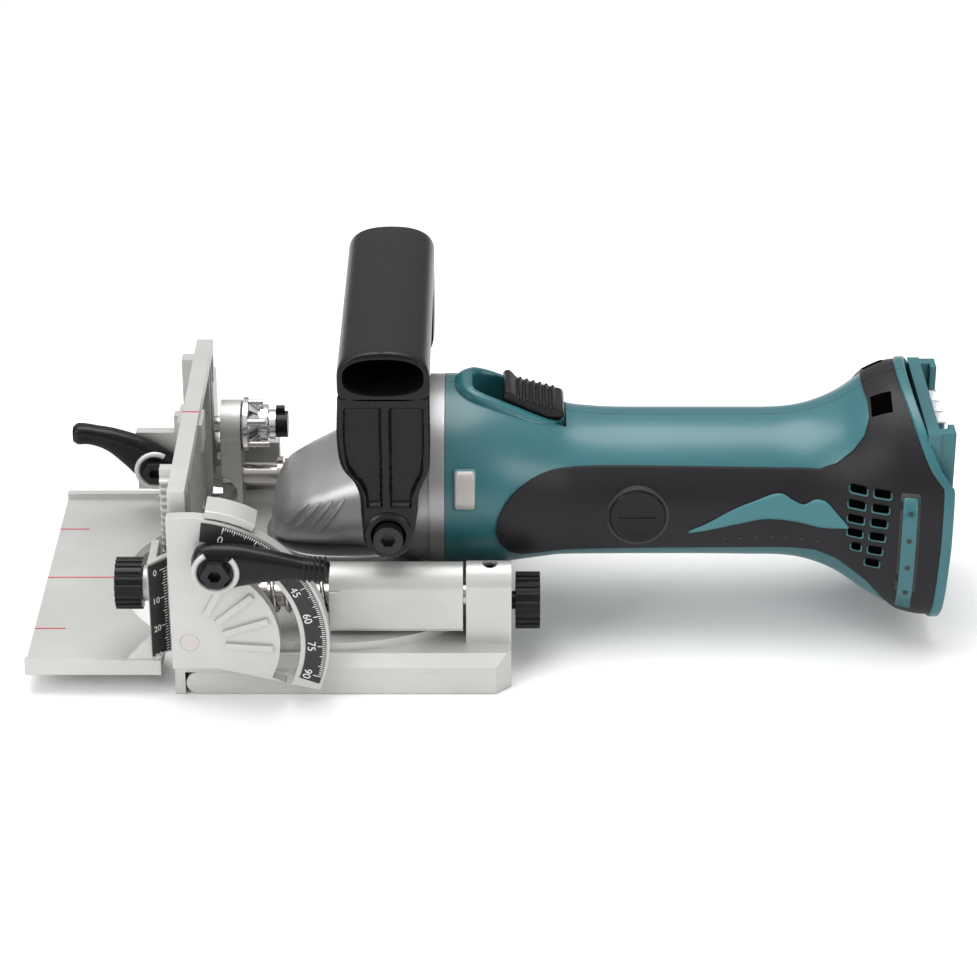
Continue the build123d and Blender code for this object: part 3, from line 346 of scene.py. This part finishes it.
def half_shell(side, start, outer, inner, rows=100, steps=61):
    """One half of the housing's wall as a closed shape, between two offsets of the skin."""
    rings = []
    thetas = np.linspace(-math.pi / 2, math.pi / 2, steps)
    for x in np.linspace(start, 240, rows):
        ring = []
        for grow, order in ((outer, thetas), (inner, thetas[::-1])):
            for theta in order:
                at = x if x < 200 else 200 + (x - 200) * (rear_end(theta) - 200) / 40
                ring.append(skin(at, theta, side, grow))
        rings.append(ring)
    return loft(rings)


for side, hand in SIDES:
    shell = finish_piece(half_shell(side, 81.1, 0.0, -2.4), f"housing_{hand}", TEAL, "motor_unit")
    carve(shell, prism([(90, -9.4), (120.6, -9.4), (120.6, 9.4), (90, 9.4)], 60, 95, "z"))
    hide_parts(f"motor_housing_{hand}")

# ---------------------------------------------------------------- grip overmould
GRIP_OUTLINE = (
    (97.7, 43.3), (98, 47), (99, 50.1), (100.6, 53.4), (102.7, 56.3), (105.4, 58.6), (108.7, 60.4), (112, 61.6),
    (116, 62.2), (125, 62.3), (150, 62.0), (175, 61.7), (190, 61.5), (202.5, 62), (208, 64.4), (213, 68.8),
    (216.5, 73.5), (218.3, 78), (218.2, 81.4), (216, 84.5), (214, 95), (250, 95), (250, 0), (236, 0), (229, 13.3),
    (224, 18.5), (218.6, 24.7), (209, 31), (202.5, 33.2), (190, 33.2), (126, 32.4), (110, 31.8), (106, 32),
    (102, 34), (99, 38.1),
)
for side, hand in SIDES:
    grip = finish_piece(half_shell(side, 96, 1.05, -0.6), f"grip_{hand}", RUBBER, "motor_unit", smooth=60)
    carve(grip, prism(GRIP_OUTLINE, *sorted((side * 0.05, side * 45))), "INTERSECT")
    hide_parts(f"grip_overmould_{hand}")


def patch(name, lower, upper, side, grow, mat, depth=0.6, steps=40, rows_n=8):
    """A raised inlay on the skin between a lower and an upper edge, each given as (X, Z) points."""
    rows = []
    for x in np.linspace(lower[0][0], lower[-1][0], steps):
        a, b = smooth_table(lower, x)[0], smooth_table(upper, x)[0]
        rows.append([skin_point(x, a + (b - a) * w, side, grow) for w in np.linspace(0, 1, rows_n)])
    mesh, _ = sheet(rows)
    piece = finish_piece(mesh, name, mat, "motor_unit", smooth=60)
    thicken(piece, depth, 0.0)
    return piece


def block(name, x, z, side, grow, mat, depth=0.4):
    """A small rounded patch on the skin, as wide and high as its pairs of X and Z."""
    (x0, x1), (z0, z1) = x, z
    soft = min(0.5, (z1 - z0) / 4)
    lower = ((x0, z0 + soft), (x0 + 0.5, z0), (x1 - 0.5, z0), (x1, z0 + soft))
    upper = ((x0, z1 - soft), (x0 + 0.5, z1), (x1 - 0.5, z1), (x1, z1 - soft))
    return patch(name, lower, upper, side, grow, mat, depth, 12, 6)


SWOOSH_LOW = ((160.5, 40.6), (166, 41.6), (176, 44.0), (186, 45.9), (196, 45.0), (204, 43.6), (212, 44.6))
SWOOSH_UP = ((160.5, 41.2), (166, 43.9), (174, 48.6), (182, 51.9), (190, 54.2), (194, 52.2), (197.5, 50.9),
             (201.5, 52.9), (204.5, 52.6), (208, 49.3), (212, 45.2))
VENT_ROWS = ((211.6, 217.6, 219.0, 225.0), (211.2, 217.2, 218.6, 224.6), (211.2, 217.0, 218.4, 224.2),
             (211.4, 216.8, 218.2, 223.8), (212.8, 216.6, 218.0, 223.2), (0, 0, 217.4, 222.6))
for side, hand in SIDES:
    patch(f"swoosh_{hand}", SWOOSH_LOW, SWOOSH_UP, side, 1.2, TEAL_INLAY)
    for row, (a, b, c, d) in enumerate(VENT_ROWS):
        z = 58.0 - row * 4.9
        for column, (x0, x1) in enumerate(((a, b), (c, d))):
            if x1:
                block(f"vent_rim_{hand}_{row}_{column}", (x0, x1), (z - 1.6, z + 1.1), side, 1.1, TEAL, 0.3)
                block(f"vent_hole_{hand}_{row}_{column}", (x0 + 0.4, x1 - 0.5), (z - 1.0, z + 1.5), side, 1.3, VOID, 0.2)
    for dot in range(7):
        x, z = 172 + dot * 5.0, 38.4 - 0.25 * abs(dot - 3)
        block(f"grip_dot_{hand}_{dot}", (x, x + 1.2), (z, z + 0.9), side, 1.12, CARBON_AND_GROOVE_SHADE, 0.2)
    block(f"strip_{hand}", (228.5, 233.2), (18, 58), side, 1.45, TEAL, 0.9)
    # painted shade: a dark sheet showing just past the strip's edges, for the shadow in the groove round it
    block(f"strip_gap_painted_shade_{hand}", (227.6, 234.2), (16.8, 59.4), side, 1.12, CARBON_AND_GROOVE_SHADE, 0.2)
    for dot in range(4):
        z = 24 + dot * 9.4
        block(f"strip_dot_{hand}_{dot}", (230.2, 231.7), (z, z + 1.5), side, 1.95, CARBON_AND_GROOVE_SHADE, 0.2)
    rows = []
    for x in np.linspace(219.0, 225.4, 6):
        rows.append([skin(x, t, side, 1.15) for t in np.linspace(math.radians(58), math.radians(72), 6)])
    strap = finish_piece(sheet(rows)[0], f"strap_slot_{hand}", VOID, "motor_unit")
    thicken(strap, 0.25, 0.0)
    rings = []
    for theta in np.linspace(-math.pi / 2, math.pi / 2, 90):
        x = rear_end(theta)
        rings.append([skin(x + a, theta, side, g) for a, g in (
            (-0.2, -1.8), (-0.2, 1.3), (0.3, 1.7), (2.8, 1.7), (3.2, 1.3), (3.2, -1.8))])
    finish_piece(loft(rings), f"rear_rim_{hand}", TEAL, "motor_unit", smooth=35)
    frame_piece = block(f"lamp_frame_{hand}", (83.7, 91.3), (51.8, 65.2), side, 0.15, TEAL_INLAY, 0.5)
    lens = block(f"lamp_window_{hand}", (84.3, 90.7), (52.5, 64.5), side, 0.55, LENS, 0.8)
    if side < 0:
        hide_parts("lamp_lens")
    cap = turned([(side * 22, 9.2), (side * 25.9, 9.2), (side * 26.3, 8.8), (side * 26.4, 8.0), (side * 26.1, 7.2),
                  (side * 26.1, 0.6)], (143.7, 46.6), "y", 64)
    cap = finish_piece(cap, f"brush_cap_{hand}", BLACK, "motor_unit", smooth=25)
    carve(cap, prism([(137.6, 46.0), (149.8, 46.0), (149.8, 47.2), (137.6, 47.2)], *sorted((side * 25.2, side * 27))))
    if side < 0:
        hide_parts("brush_caps")
    # painted shade: a dark ring just outside the brush cap, for the shadow in the gap round it
    groove = turned([(side * 22, 10.3), (side * 25.7, 10.3), (side * 25.9, 9.9), (side * 25.7, 9.3), (side * 22, 9.3)],
                    (143.7, 46.6), "y", 64)
    finish_piece(groove, f"cap_gap_painted_shade_{hand}", CARBON_AND_GROOVE_SHADE, "motor_unit")

# raised frame round the switch, following the skin
rings = []
outline_out = oval((102.0, 0), 18.2, 13.4, 2.6, 96)
outline_in = oval((105.2, 0), 15.2, 9.2, 4.5, 96)
for a, b in zip(outline_out, outline_in):
    ring = []
    for w, part in ((0.0, -0.6), (0.08, 0.45), (0.25, 0.9), (0.5, 1.0), (0.8, 0.95), (0.97, 0.6), (1.0, 0.0)):
        x, y = a[0] + (b[0] - a[0]) * w, a[1] + (b[1] - a[1]) * w
        rise = float(np.interp(x, (84, 90, 98, 108, 120), (1.4, 2.6, 1.9, 0.9, 0.5)))
        ring.append((x, y, top_height(x, y) + rise * part))
    ring.append((b[0], b[1], 70.0))
    ring.append((a[0] * 0.3 + b[0] * 0.7, a[1] * 0.3 + b[1] * 0.7, 70.0))
    rings.append(ring)
finish_piece(loft(rings + rings[:1], cap=False), "switch_frame", TEAL, "motor_unit", smooth=50)
finish_piece(prism(oval((105.2, 0), 15.6, 9.6, 5.0, 48), 67.5, 70.8, "z"), "switch_well", CARBON_AND_GROOVE_SHADE, "motor_unit")
outline = [(100, 74), (100, 82.4), (100.6, 83.3), (102.0, 83.5), (103.0, 82.6), (104.0, 81.4)]
for k in range(6):
    x = 105 + 2.15 * k
    z = 80.9 - 0.28 * (x - 104.5)
    outline += [(x, z - 0.35), (x + 0.35, z + 0.3), (x + 1.1, z + 0.1), (x + 1.45, z - 0.7)]
outline += [(118.4, 76.9), (119.5, 76.3), (120, 75.2), (120, 74)]
knob = finish_piece(prism(outline, -8.5, 8.5), "switch_button", BLACK, "switch", bevel=0.35)
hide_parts("switch_knob")

# ---------------------------------------------------------------- gear case
CASE = (
    (23.3, 7.0, 32.0, 40.0, 2.2), (24.2, 13.0, 30.0, 44.0, 2.3), (27, 18.0, 29.2, 49.5, 2.5),
    (33, 21.5, 29.0, 54.0, 2.6), (42, 24.2, 29.0, 58.8, 2.6), (52, 26.0, 28.6, 64.6, 2.5),
    (60, 28.0, 26.5, 70.5, 2.4), (68, 30.0, 23.5, 77.0, 2.2), (76, 31.0, 20.6, 82.0, 2.0),
)


def case_ring(x, grow=0.0):
    half, low, high, power = smooth_table(CASE, x)
    return [(x, p[0], p[1]) for p in oval((0, (low + high) / 2), half + grow, (high - low) / 2 + grow, power, 72)]


mesh = loft([case_ring(x) for x in np.concatenate([[23.3, 23.6, 24.2, 25.2], np.linspace(27, 76, 40)])])
case = finish_piece(mesh, "gear_case", GEAR, "motor_unit", smooth=60)
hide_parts("gear_housing")
finish_piece(prism(oval((47, 0), 24.6, 25.2, 2.6, 64), 28.0, 31.5, "z"), "case_seam_rim", GEAR, "motor_unit",
             bevel=0.8)
for side, hand in SIDES:
    for k in range(4):
        rings = []
        x0, z0 = 27.5 + 4.0 * k, 40.5 - 0.4 * k
        for t in np.linspace(0, 1, 9):
            x, z = x0 + 9.0 * t, z0 + (8.5 + 1.5 * k) * t
            half, low, high, power = smooth_table(CASE, x)
            v = np.clip((z - (low + high) / 2) / ((high - low) / 2), -1, 1)
            y = half * (1 - abs(v) ** power) ** (1 / power)
            r = 1.0 * math.sin(math.pi * (0.12 + 0.76 * t))
            rings.append([(x + r * 0.7 * math.cos(a), side * (y + r * 0.75 * math.sin(a)), z - r * 0.7 * math.cos(a))
                          for a in np.linspace(0, 2 * math.pi, 12, endpoint=False)])
        finish_piece(loft(rings), f"case_rib_{hand}_{k}", GEAR, "motor_unit", smooth=60)
    boss = turned([(side * 22, 10.5), (side * 30, 9.4), (side * 36, 8.4), (side * 43.4, 8.0), (side * 44.4, 7.2)],
                  (63.5, 53.6), "y")
    finish_piece(boss, f"handle_boss_{hand}", GEAR, "motor_unit", smooth=35)

# ---------------------------------------------------------------- handle
def grip_ring(y, shrink=0.0, hole=0.0, steps=64):
    """A section of the grip at y, drawn in by shrink; hole blends it towards its hollow end."""
    ring = []
    for k in range(steps):
        c, s = math.cos(2 * math.pi * k / steps), math.sin(2 * math.pi * k / steps)
        power = 2.4 if s > 0 else 6.0
        x = (14.4 - shrink) * math.copysign(abs(c) ** (2 / power), c)
        z = 108.2 + (8.6 - shrink) * math.copysign(abs(s) ** (2 / power), s)
        hx = 12.4 * math.copysign(abs(c) ** (2 / 2.5), c)
        hz = 108.4 + 5.9 * math.copysign(abs(s) ** (2 / 2.5), s)
        ring.append((62.5 + x + (hx - x) * hole, y, z + (hz - z) * hole))
    return ring


END = ((22, 0, 1.0), (48.5, 0, 1.0), (51.2, 0, 0.97), (51.9, 0, 0.86), (51.9, 0, 0.3), (51.6, 0, 0.08), (50.6, 0, 0.0))
rings = [grip_ring(-y, shrink, hole) for y, shrink, hole in END]
rings += [grip_ring(y) for y in np.linspace(-46, 46, 17)]
rings += [grip_ring(y, shrink, hole) for y, shrink, hole in reversed(END)]
grip_bar = finish_piece(loft(rings), "handle_grip", BLACK, "motor_unit", smooth=50)
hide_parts("handle")

# Z, front X, rear X of each leg
LEG = (
    (45.6, 61.5, 65.5), (46.6, 58.5, 68.5), (49, 56.4, 70.6), (53.6, 55.4, 71.6), (60, 54.9, 72.6),
    (68, 54.3, 73.4), (72, 52.6, 75.0), (75.5, 49.8, 76.5), (79, 48.5, 76.8), (104, 48.1, 76.9),
)
for side, hand in SIDES:
    rings = []
    for z in np.concatenate([[45.6, 46, 46.8, 48, 50], np.linspace(52, 101, 72)]):
        front, rear = smooth_table(LEG, z)
        ring = []
        for w in np.linspace(0, 1, 57):
            x = front + (rear - front) * w
            edge = min(w, 1 - w) * (rear - front)
            middle = abs(x - 62.9)
            inside = min((middle - 1.2) / 0.6, (edge - 2.0) / 0.6, (z - 63.0) / 1.0, (98.0 - z) / 1.2)
            y = 51.9 - 1.4 * max(0.0, 1 - edge / 1.4) ** 2 - 2.4 * float(np.clip(inside, 0, 1))
            ring.append((x, side * y, z))
        ring += [(rear - 0.4, side * 46.2, z), (front + 0.4, side * 46.2, z)]
        rings.append(ring)
    finish_piece(loft(rings), f"handle_leg_{hand}", BLACK, "motor_unit", smooth=50)
    ring = turned([(side * 50, 8.0), (side * 52.2, 8.0), (side * 52.8, 7.3), (side * 52.8, 5.6), (side * 51.9, 5.2)],
                  (63.5, 53.6), "y")
    finish_piece(ring, f"leg_boss_{hand}", BLACK, "motor_unit", smooth=35)

# ---------------------------------------------------------------- depth turret and carriage
turret = turned([(0.6, 2.9), (10.4, 2.9), (10.5, 9.0), (10.9, 9.5), (12.5, 9.5), (12.8, 8.6), (13.4, 8.3), (15.4, 7.0),
                 (16.5, 6.2), (16.7, 6.9), (19.2, 6.9), (19.5, 6.6), (19.7, 5.2), (21.9, 5.2), (22.0, 4.0)], (45, 45.8))
turret = finish_piece(turret, "turret_disc", CHROME, "turret", smooth=30)
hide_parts("depth_stop_turret")
for side, hand in SIDES:
    outline = [(side * 49.9, 18.0), (side * 50.3, 18.4), (side * 50.34, 31.5), (side * 49.9, 33.6), (side * 49.4, 33.4),
               (side * 49.7, 31.5)]
    finish_piece(prism(outline, 44.1, 86.9, "x"), f"carriage_side_{hand}", CAST, "motor_unit", bevel=0.1)
    pad = [(43.9, 25.6), (47.4, 25.6), (47.4, 32.2), (43.9, 32.2)]
    finish_piece(prism(pad, *sorted((side * 50.2, side * 51.2))), f"carriage_pad_{hand}", CAST, "motor_unit", bevel=0.25)
arc = []
for turn, radius in ((62, 45.1), (67, 45.1), (72, 45.1), (77, 45.1), (82, 45.1), (82, 47.6), (77, 47.8), (72, 47.8),
                     (67, 47.8), (62, 47.6)):
    arc.append((0.3 + radius * math.cos(math.radians(turn)), 22 + radius * math.sin(math.radians(turn))))
finish_piece(prism(arc, -65.6, -55.0), "tilt_index", CAST, "base", bevel=0.3)

# ---------------------------------------------------------------- levers


def lever(name, body, node, path, y, parts=14):
    """A moulded lever through (X, Z, half height, half thickness) stations, in a plane of constant Y."""
    rings = []
    stations = [(k, *p) for k, p in enumerate(path)]
    for t in np.linspace(0, len(path) - 1, (len(path) - 1) * parts):
        x, z, h, d = smooth_table(stations, t)
        ahead = smooth_table(stations, min(t + 0.05, len(path) - 1))
        behind = smooth_table(stations, max(t - 0.05, 0))
        turn = math.atan2(ahead[1] - behind[1], ahead[0] - behind[0])
        ring = []
        for a, b in oval((0, 0), h, d, 2.8, 28):
            ring.append((x - math.sin(turn) * a, y + b, z + math.cos(turn) * a))
        rings.append(ring)
    piece = finish_piece(loft(rings), name, BLACK, body, smooth=50)
    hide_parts(node)
    return piece


low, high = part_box("tilt_lock_bolt")
LOCK_X, LOCK_Z = (low.x + high.x) / 2 / MM, (low.z + high.z) / 2 / MM
HUB_Y = -70.8
lever("tilt_lever_arm", "tilt_lever", "tilt_lock_lever", (
    (LOCK_X - 7.5, LOCK_Z, 3.5, 2.4), (LOCK_X - 5.5, LOCK_Z, 6.8, 3.9), (LOCK_X, LOCK_Z, 8.0, 4.0),
    (LOCK_X + 7, LOCK_Z + 0.6, 7.0, 3.9), (LOCK_X + 16, LOCK_Z + 0.4, 5.2, 3.6), (LOCK_X + 26, LOCK_Z - 0.6, 3.6, 3.2),
    (LOCK_X + 33.4, LOCK_Z - 1.4, 3.2, 3.2), (45.6, LOCK_Z - 1.6, 2.2, 2.4)), HUB_Y)
for k in range(5):
    x = 37.5 + 1.6 * k
    finish_piece(prism([(x, LOCK_Z - 3.8), (x + 0.8, LOCK_Z - 3.8), (x + 0.8, LOCK_Z + 2.2), (x, LOCK_Z + 2.2)],
                       HUB_Y - 3.6, HUB_Y + 3.0), f"tilt_lever_rib_{k}", BLACK, "tilt_lever", bevel=0.3)
low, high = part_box("height_lock_bolt")
GUIDE_LEVER_X, GUIDE_LEVER_Z = (low.x + high.x) / 2 / MM, (low.z + high.z) / 2 / MM
GUIDE_HUB_Y = 46.4
lever("height_lever_arm", "guide_lever", "height_lock_lever", (
    (GUIDE_LEVER_X + 6.5, GUIDE_LEVER_Z - 2.5, 3.0, 2.4), (GUIDE_LEVER_X + 4.5, GUIDE_LEVER_Z - 1.5, 6.0, 3.5),
    (GUIDE_LEVER_X, GUIDE_LEVER_Z, 7.2, 3.7), (-27, 34.2, 6.2, 3.6), (-35, 38.9, 4.2, 3.4), (-42, 41.0, 3.4, 3.2),
    (-46.5, 41.4, 3.6, 3.4), (-48.6, 41.4, 2.6, 2.8)), GUIDE_HUB_Y)


def c_ring(name, body, x, z, y, radius, gap_at):
    """An open spring ring round a lever's bolt head."""
    rings = []
    for a in np.linspace(math.radians(gap_at + 38), math.radians(gap_at + 322), 40):
        ring = []
        for b in np.linspace(0, 2 * math.pi, 12, endpoint=False):
            r = radius + 1.0 * math.cos(b)
            ring.append((x + r * math.cos(a), y + 0.8 * math.sin(b), z + r * math.sin(a)))
        rings.append(ring)
    finish_piece(loft(rings), name, CAST, body, smooth=60)


c_ring("tilt_spring_ring", "tilt_lever", LOCK_X, LOCK_Z, HUB_Y - 4.2, 6.6, 80)
c_ring("height_spring_ring", "guide_lever", GUIDE_LEVER_X, GUIDE_LEVER_Z, GUIDE_HUB_Y - 3.9, 6.2, 20)

# ---------------------------------------------------------------- scales and marks


def marks(name, quads, mat, body):
    """Thin printed marks: each is four corner points."""
    mesh = bmesh.new()
    for quad in quads:
        mesh.faces.new([mesh.verts.new(Vector(p) * MM) for p in quad])
    piece = finish_piece(mesh, name, mat, body)
    thicken(piece, 0.08, 0.0)
    return piece


def digits(name, text, place, size, right, up, mat, body):
    """A number lying in the plane of its right and up directions."""
    curve = bpy.data.curves.new(name, "FONT")
    curve.body = text
    curve.size = size * MM
    curve.align_x = "CENTER"
    curve.align_y = "CENTER"
    curve.extrude = 0.04 * MM
    holder = bpy.data.objects.new(name, curve)
    bpy.context.scene.collection.objects.link(holder)
    bpy.context.view_layer.update()
    data = bpy.data.meshes.new_from_object(holder.evaluated_get(bpy.context.evaluated_depsgraph_get()))
    bpy.data.objects.remove(holder)
    right, up = Vector(right).normalized(), Vector(up).normalized()
    out = right.cross(up)
    for vertex in data.vertices:
        c = vertex.co
        vertex.co = Vector(place) * MM + right * c.x + up * c.y + out * c.z
    piece = bpy.data.objects.new(name, data)
    bpy.context.scene.collection.objects.link(piece)
    data.materials.clear()
    data.materials.append(mat)
    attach(piece, body)


tilt_joint = next(j for j in frame["joints"] if j["name"] == "fence_tilt")
PX, PZ = tilt_joint["pos_m"][0] / MM, tilt_joint["pos_m"][2] / MM
low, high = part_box("tilt_scale")
FACE_Y = low.y / MM - 0.06
quads = []
for step in range(0, 91, 1):
    angle = math.radians(73.4 - step)
    r0 = 40.6 if step % 15 == 0 else (41.5 if step % 5 == 0 else 42.2)
    half = 0.16
    dx, dz = -math.sin(angle) * half, math.cos(angle) * half
    p0 = (PX + r0 * math.cos(angle), PZ + r0 * math.sin(angle))
    p1 = (PX + 43.3 * math.cos(angle), PZ + 43.3 * math.sin(angle))
    quads.append([(p0[0] - dx, FACE_Y, p0[1] - dz), (p0[0] + dx, FACE_Y, p0[1] + dz),
                  (p1[0] + dx, FACE_Y, p1[1] + dz), (p1[0] - dx, FACE_Y, p1[1] - dz)])
marks("tilt_ticks", quads, WHITE, "tilting_fence")
for step in range(0, 91, 15):
    angle = math.radians(73.4 - step)
    place = (PX + 38.6 * math.cos(angle), FACE_Y, PZ + 38.6 * math.sin(angle))
    digits(f"tilt_number_{step}", str(step), place, 3.6, (math.sin(angle), 0, -math.cos(angle)),
           (math.cos(angle), 0, math.sin(angle)), WHITE, "tilting_fence")

low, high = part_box("height_scale")
S45 = math.sqrt(0.5)


def scale_point(w, z):
    """A point just in front of the slanted height scale; w runs 0 to 7.8 across it."""
    return (-12.1 + S45 * w + 0.2 + 0.09, -61.9 + S45 * w - 0.2 - 0.09, z)


quads = []
for mm in range(31):
    z = 44.8 - mm
    w0 = 4.2 if mm % 10 == 0 else (5.0 if mm % 5 == 0 else 5.6)
    quads.append([scale_point(w0, z - 0.12), scale_point(7.4, z - 0.12), scale_point(7.4, z + 0.12),
                  scale_point(w0, z + 0.12)])
quads.append([scale_point(7.2, 14.6), scale_point(7.5, 14.6), scale_point(7.5, 45.2), scale_point(7.2, 45.2)])
marks("height_ticks", quads, WHITE, "guide")
for mm in range(0, 31, 10):
    digits(f"height_number_{mm}", str(mm), scale_point(2.3, 44.4 - mm), 3.0, (S45, S45, 0), (0, 0, 1), WHITE, "guide")


def line(name, low_corner, high_corner, normal, body):
    """A painted line as a thin raised strip with softened edges."""
    a, b = low_corner, high_corner
    if normal == "z":
        outline = [(a[0], a[1]), (b[0], a[1]), (b[0], b[1]), (a[0], b[1])]
        mesh = prism(outline, a[2], b[2], "z")
    else:
        outline = [(a[1], a[2]), (b[1], a[2]), (b[1], b[2]), (a[1], b[2])]
        mesh = prism(outline, a[0], b[0], "x")
    finish_piece(mesh, name, RED, body, bevel=0.03)


low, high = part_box("angle_guide")
PLATE_Z = 10.0
line("guide_centre_line", (-53.7, -0.35, PLATE_Z), (-28.4, 0.35, PLATE_Z + 0.06), "z", "guide")
for k, y in enumerate((-35, 35)):
    line(f"guide_side_line_{k}", (-53.7, y - 0.35, PLATE_Z), (-43.5, y + 0.35, PLATE_Z + 0.06), "z", "guide")
line("fence_top_line", (-5.5, -0.4, 72.0), (0.0, 0.4, 72.07), "z", "tilting_fence")
line("fence_face_line", (-5.57, -0.4, 60.0), (-5.5, 0.4, 72.0), "x", "tilting_fence")
for side, hand in SIDES:
    line(f"cutter_line_{hand}", (-5.56, min(side * 44.5, side * 60), 9.6), (-5.5, max(side * 44.5, side * 60), 10.4), "x",
         "base")

# ---------------------------------------------------------------- floor, light and camera
floor = bpy.data.meshes.new("floor")
floor_mesh = bmesh.new()
REACH = 3.0
back = [floor_mesh.verts.new(p) for p in ((-REACH, -REACH, 0), (REACH, -REACH, 0), (REACH, REACH, 0), (-REACH, REACH, 0))]
floor_mesh.faces.new(back)
floor_mesh.to_mesh(floor)
floor_mesh.free()
floor_object = bpy.data.objects.new("floor", floor)
bpy.context.scene.collection.objects.link(floor_object)
floor.materials.append(surface("pale_floor", (0.86, 0.86, 0.86), 0.7, 0.0, grain=40, bump=0.0, vary=0.01))
floor_object.location.z = cad_box[0][2] - 0.0002

world = bpy.data.worlds.new("studio")
world.use_nodes = True
tree = world.node_tree
lit = tree.nodes["Background"]
lit.inputs["Color"].default_value = (1.0, 1.0, 1.0, 1)
seen = tree.nodes.new("ShaderNodeBackground")
seen.inputs["Color"].default_value = (1.0, 1.0, 1.0, 1)
coord = tree.nodes.new("ShaderNodeTexCoord")
parts = tree.nodes.new("ShaderNodeSeparateXYZ")
link(tree, coord, "Generated", parts, "Vector")
fade = tree.nodes.new("ShaderNodeMapRange")
fade.inputs["From Min"].default_value = -0.1
fade.inputs["From Max"].default_value = 0.7
fade.inputs["To Min"].default_value = 0.12
fade.inputs["To Max"].default_value = 0.80
link(tree, parts, "Z", fade, "Value")
link(tree, fade, "Result", lit, "Strength")
path = tree.nodes.new("ShaderNodeLightPath")
mix = tree.nodes.new("ShaderNodeMixShader")
link(tree, path, "Is Camera Ray", mix, 0)
link(tree, lit, "Background", mix, 1)
link(tree, seen, "Background", mix, 2)
link(tree, mix, "Shader", tree.nodes["World Output"], "Surface")
bpy.context.scene.world = world


def area(name, place, aim, size, power):
    light = bpy.data.lights.new(name, "AREA")
    light.shape = "RECTANGLE"
    light.size, light.size_y = size
    light.energy = power
    holder = bpy.data.objects.new(name, light)
    bpy.context.scene.collection.objects.link(holder)
    holder.location = place
    holder.rotation_euler = (Vector(aim) - Vector(place)).to_track_quat("-Z", "Y").to_euler()


middle = (Vector(cad_box[0]) + Vector(cad_box[1])) / 2
area("overhead", middle + Vector((-0.1, 0.1, 0.9)), middle, (0.9, 0.7), 9.0)
area("front_left", middle + Vector((-0.8, -0.7, 0.5)), middle, (0.5, 0.6), 5.0)
area("front_right", middle + Vector((0.7, -0.8, 0.45)), middle, (0.5, 0.5), 3.0)

ELEVATION = math.radians(27.0)
DISTANCE = 1.047
AIM = Vector((0.0952, 0.0, 0.0435))
camera = bpy.data.cameras.new("camera")
camera.sensor_width = 36.0
camera.lens = 36.0 * 3140.0 / 977.0
view = bpy.data.objects.new("camera", camera)
bpy.context.scene.collection.objects.link(view)
view.location = AIM + DISTANCE * Vector((0.0, -math.cos(ELEVATION), math.sin(ELEVATION)))
view.rotation_euler = (math.pi / 2 - ELEVATION, 0.0, 0.0)
bpy.context.scene.camera = view
bpy.context.scene.view_settings.view_transform = "Standard"
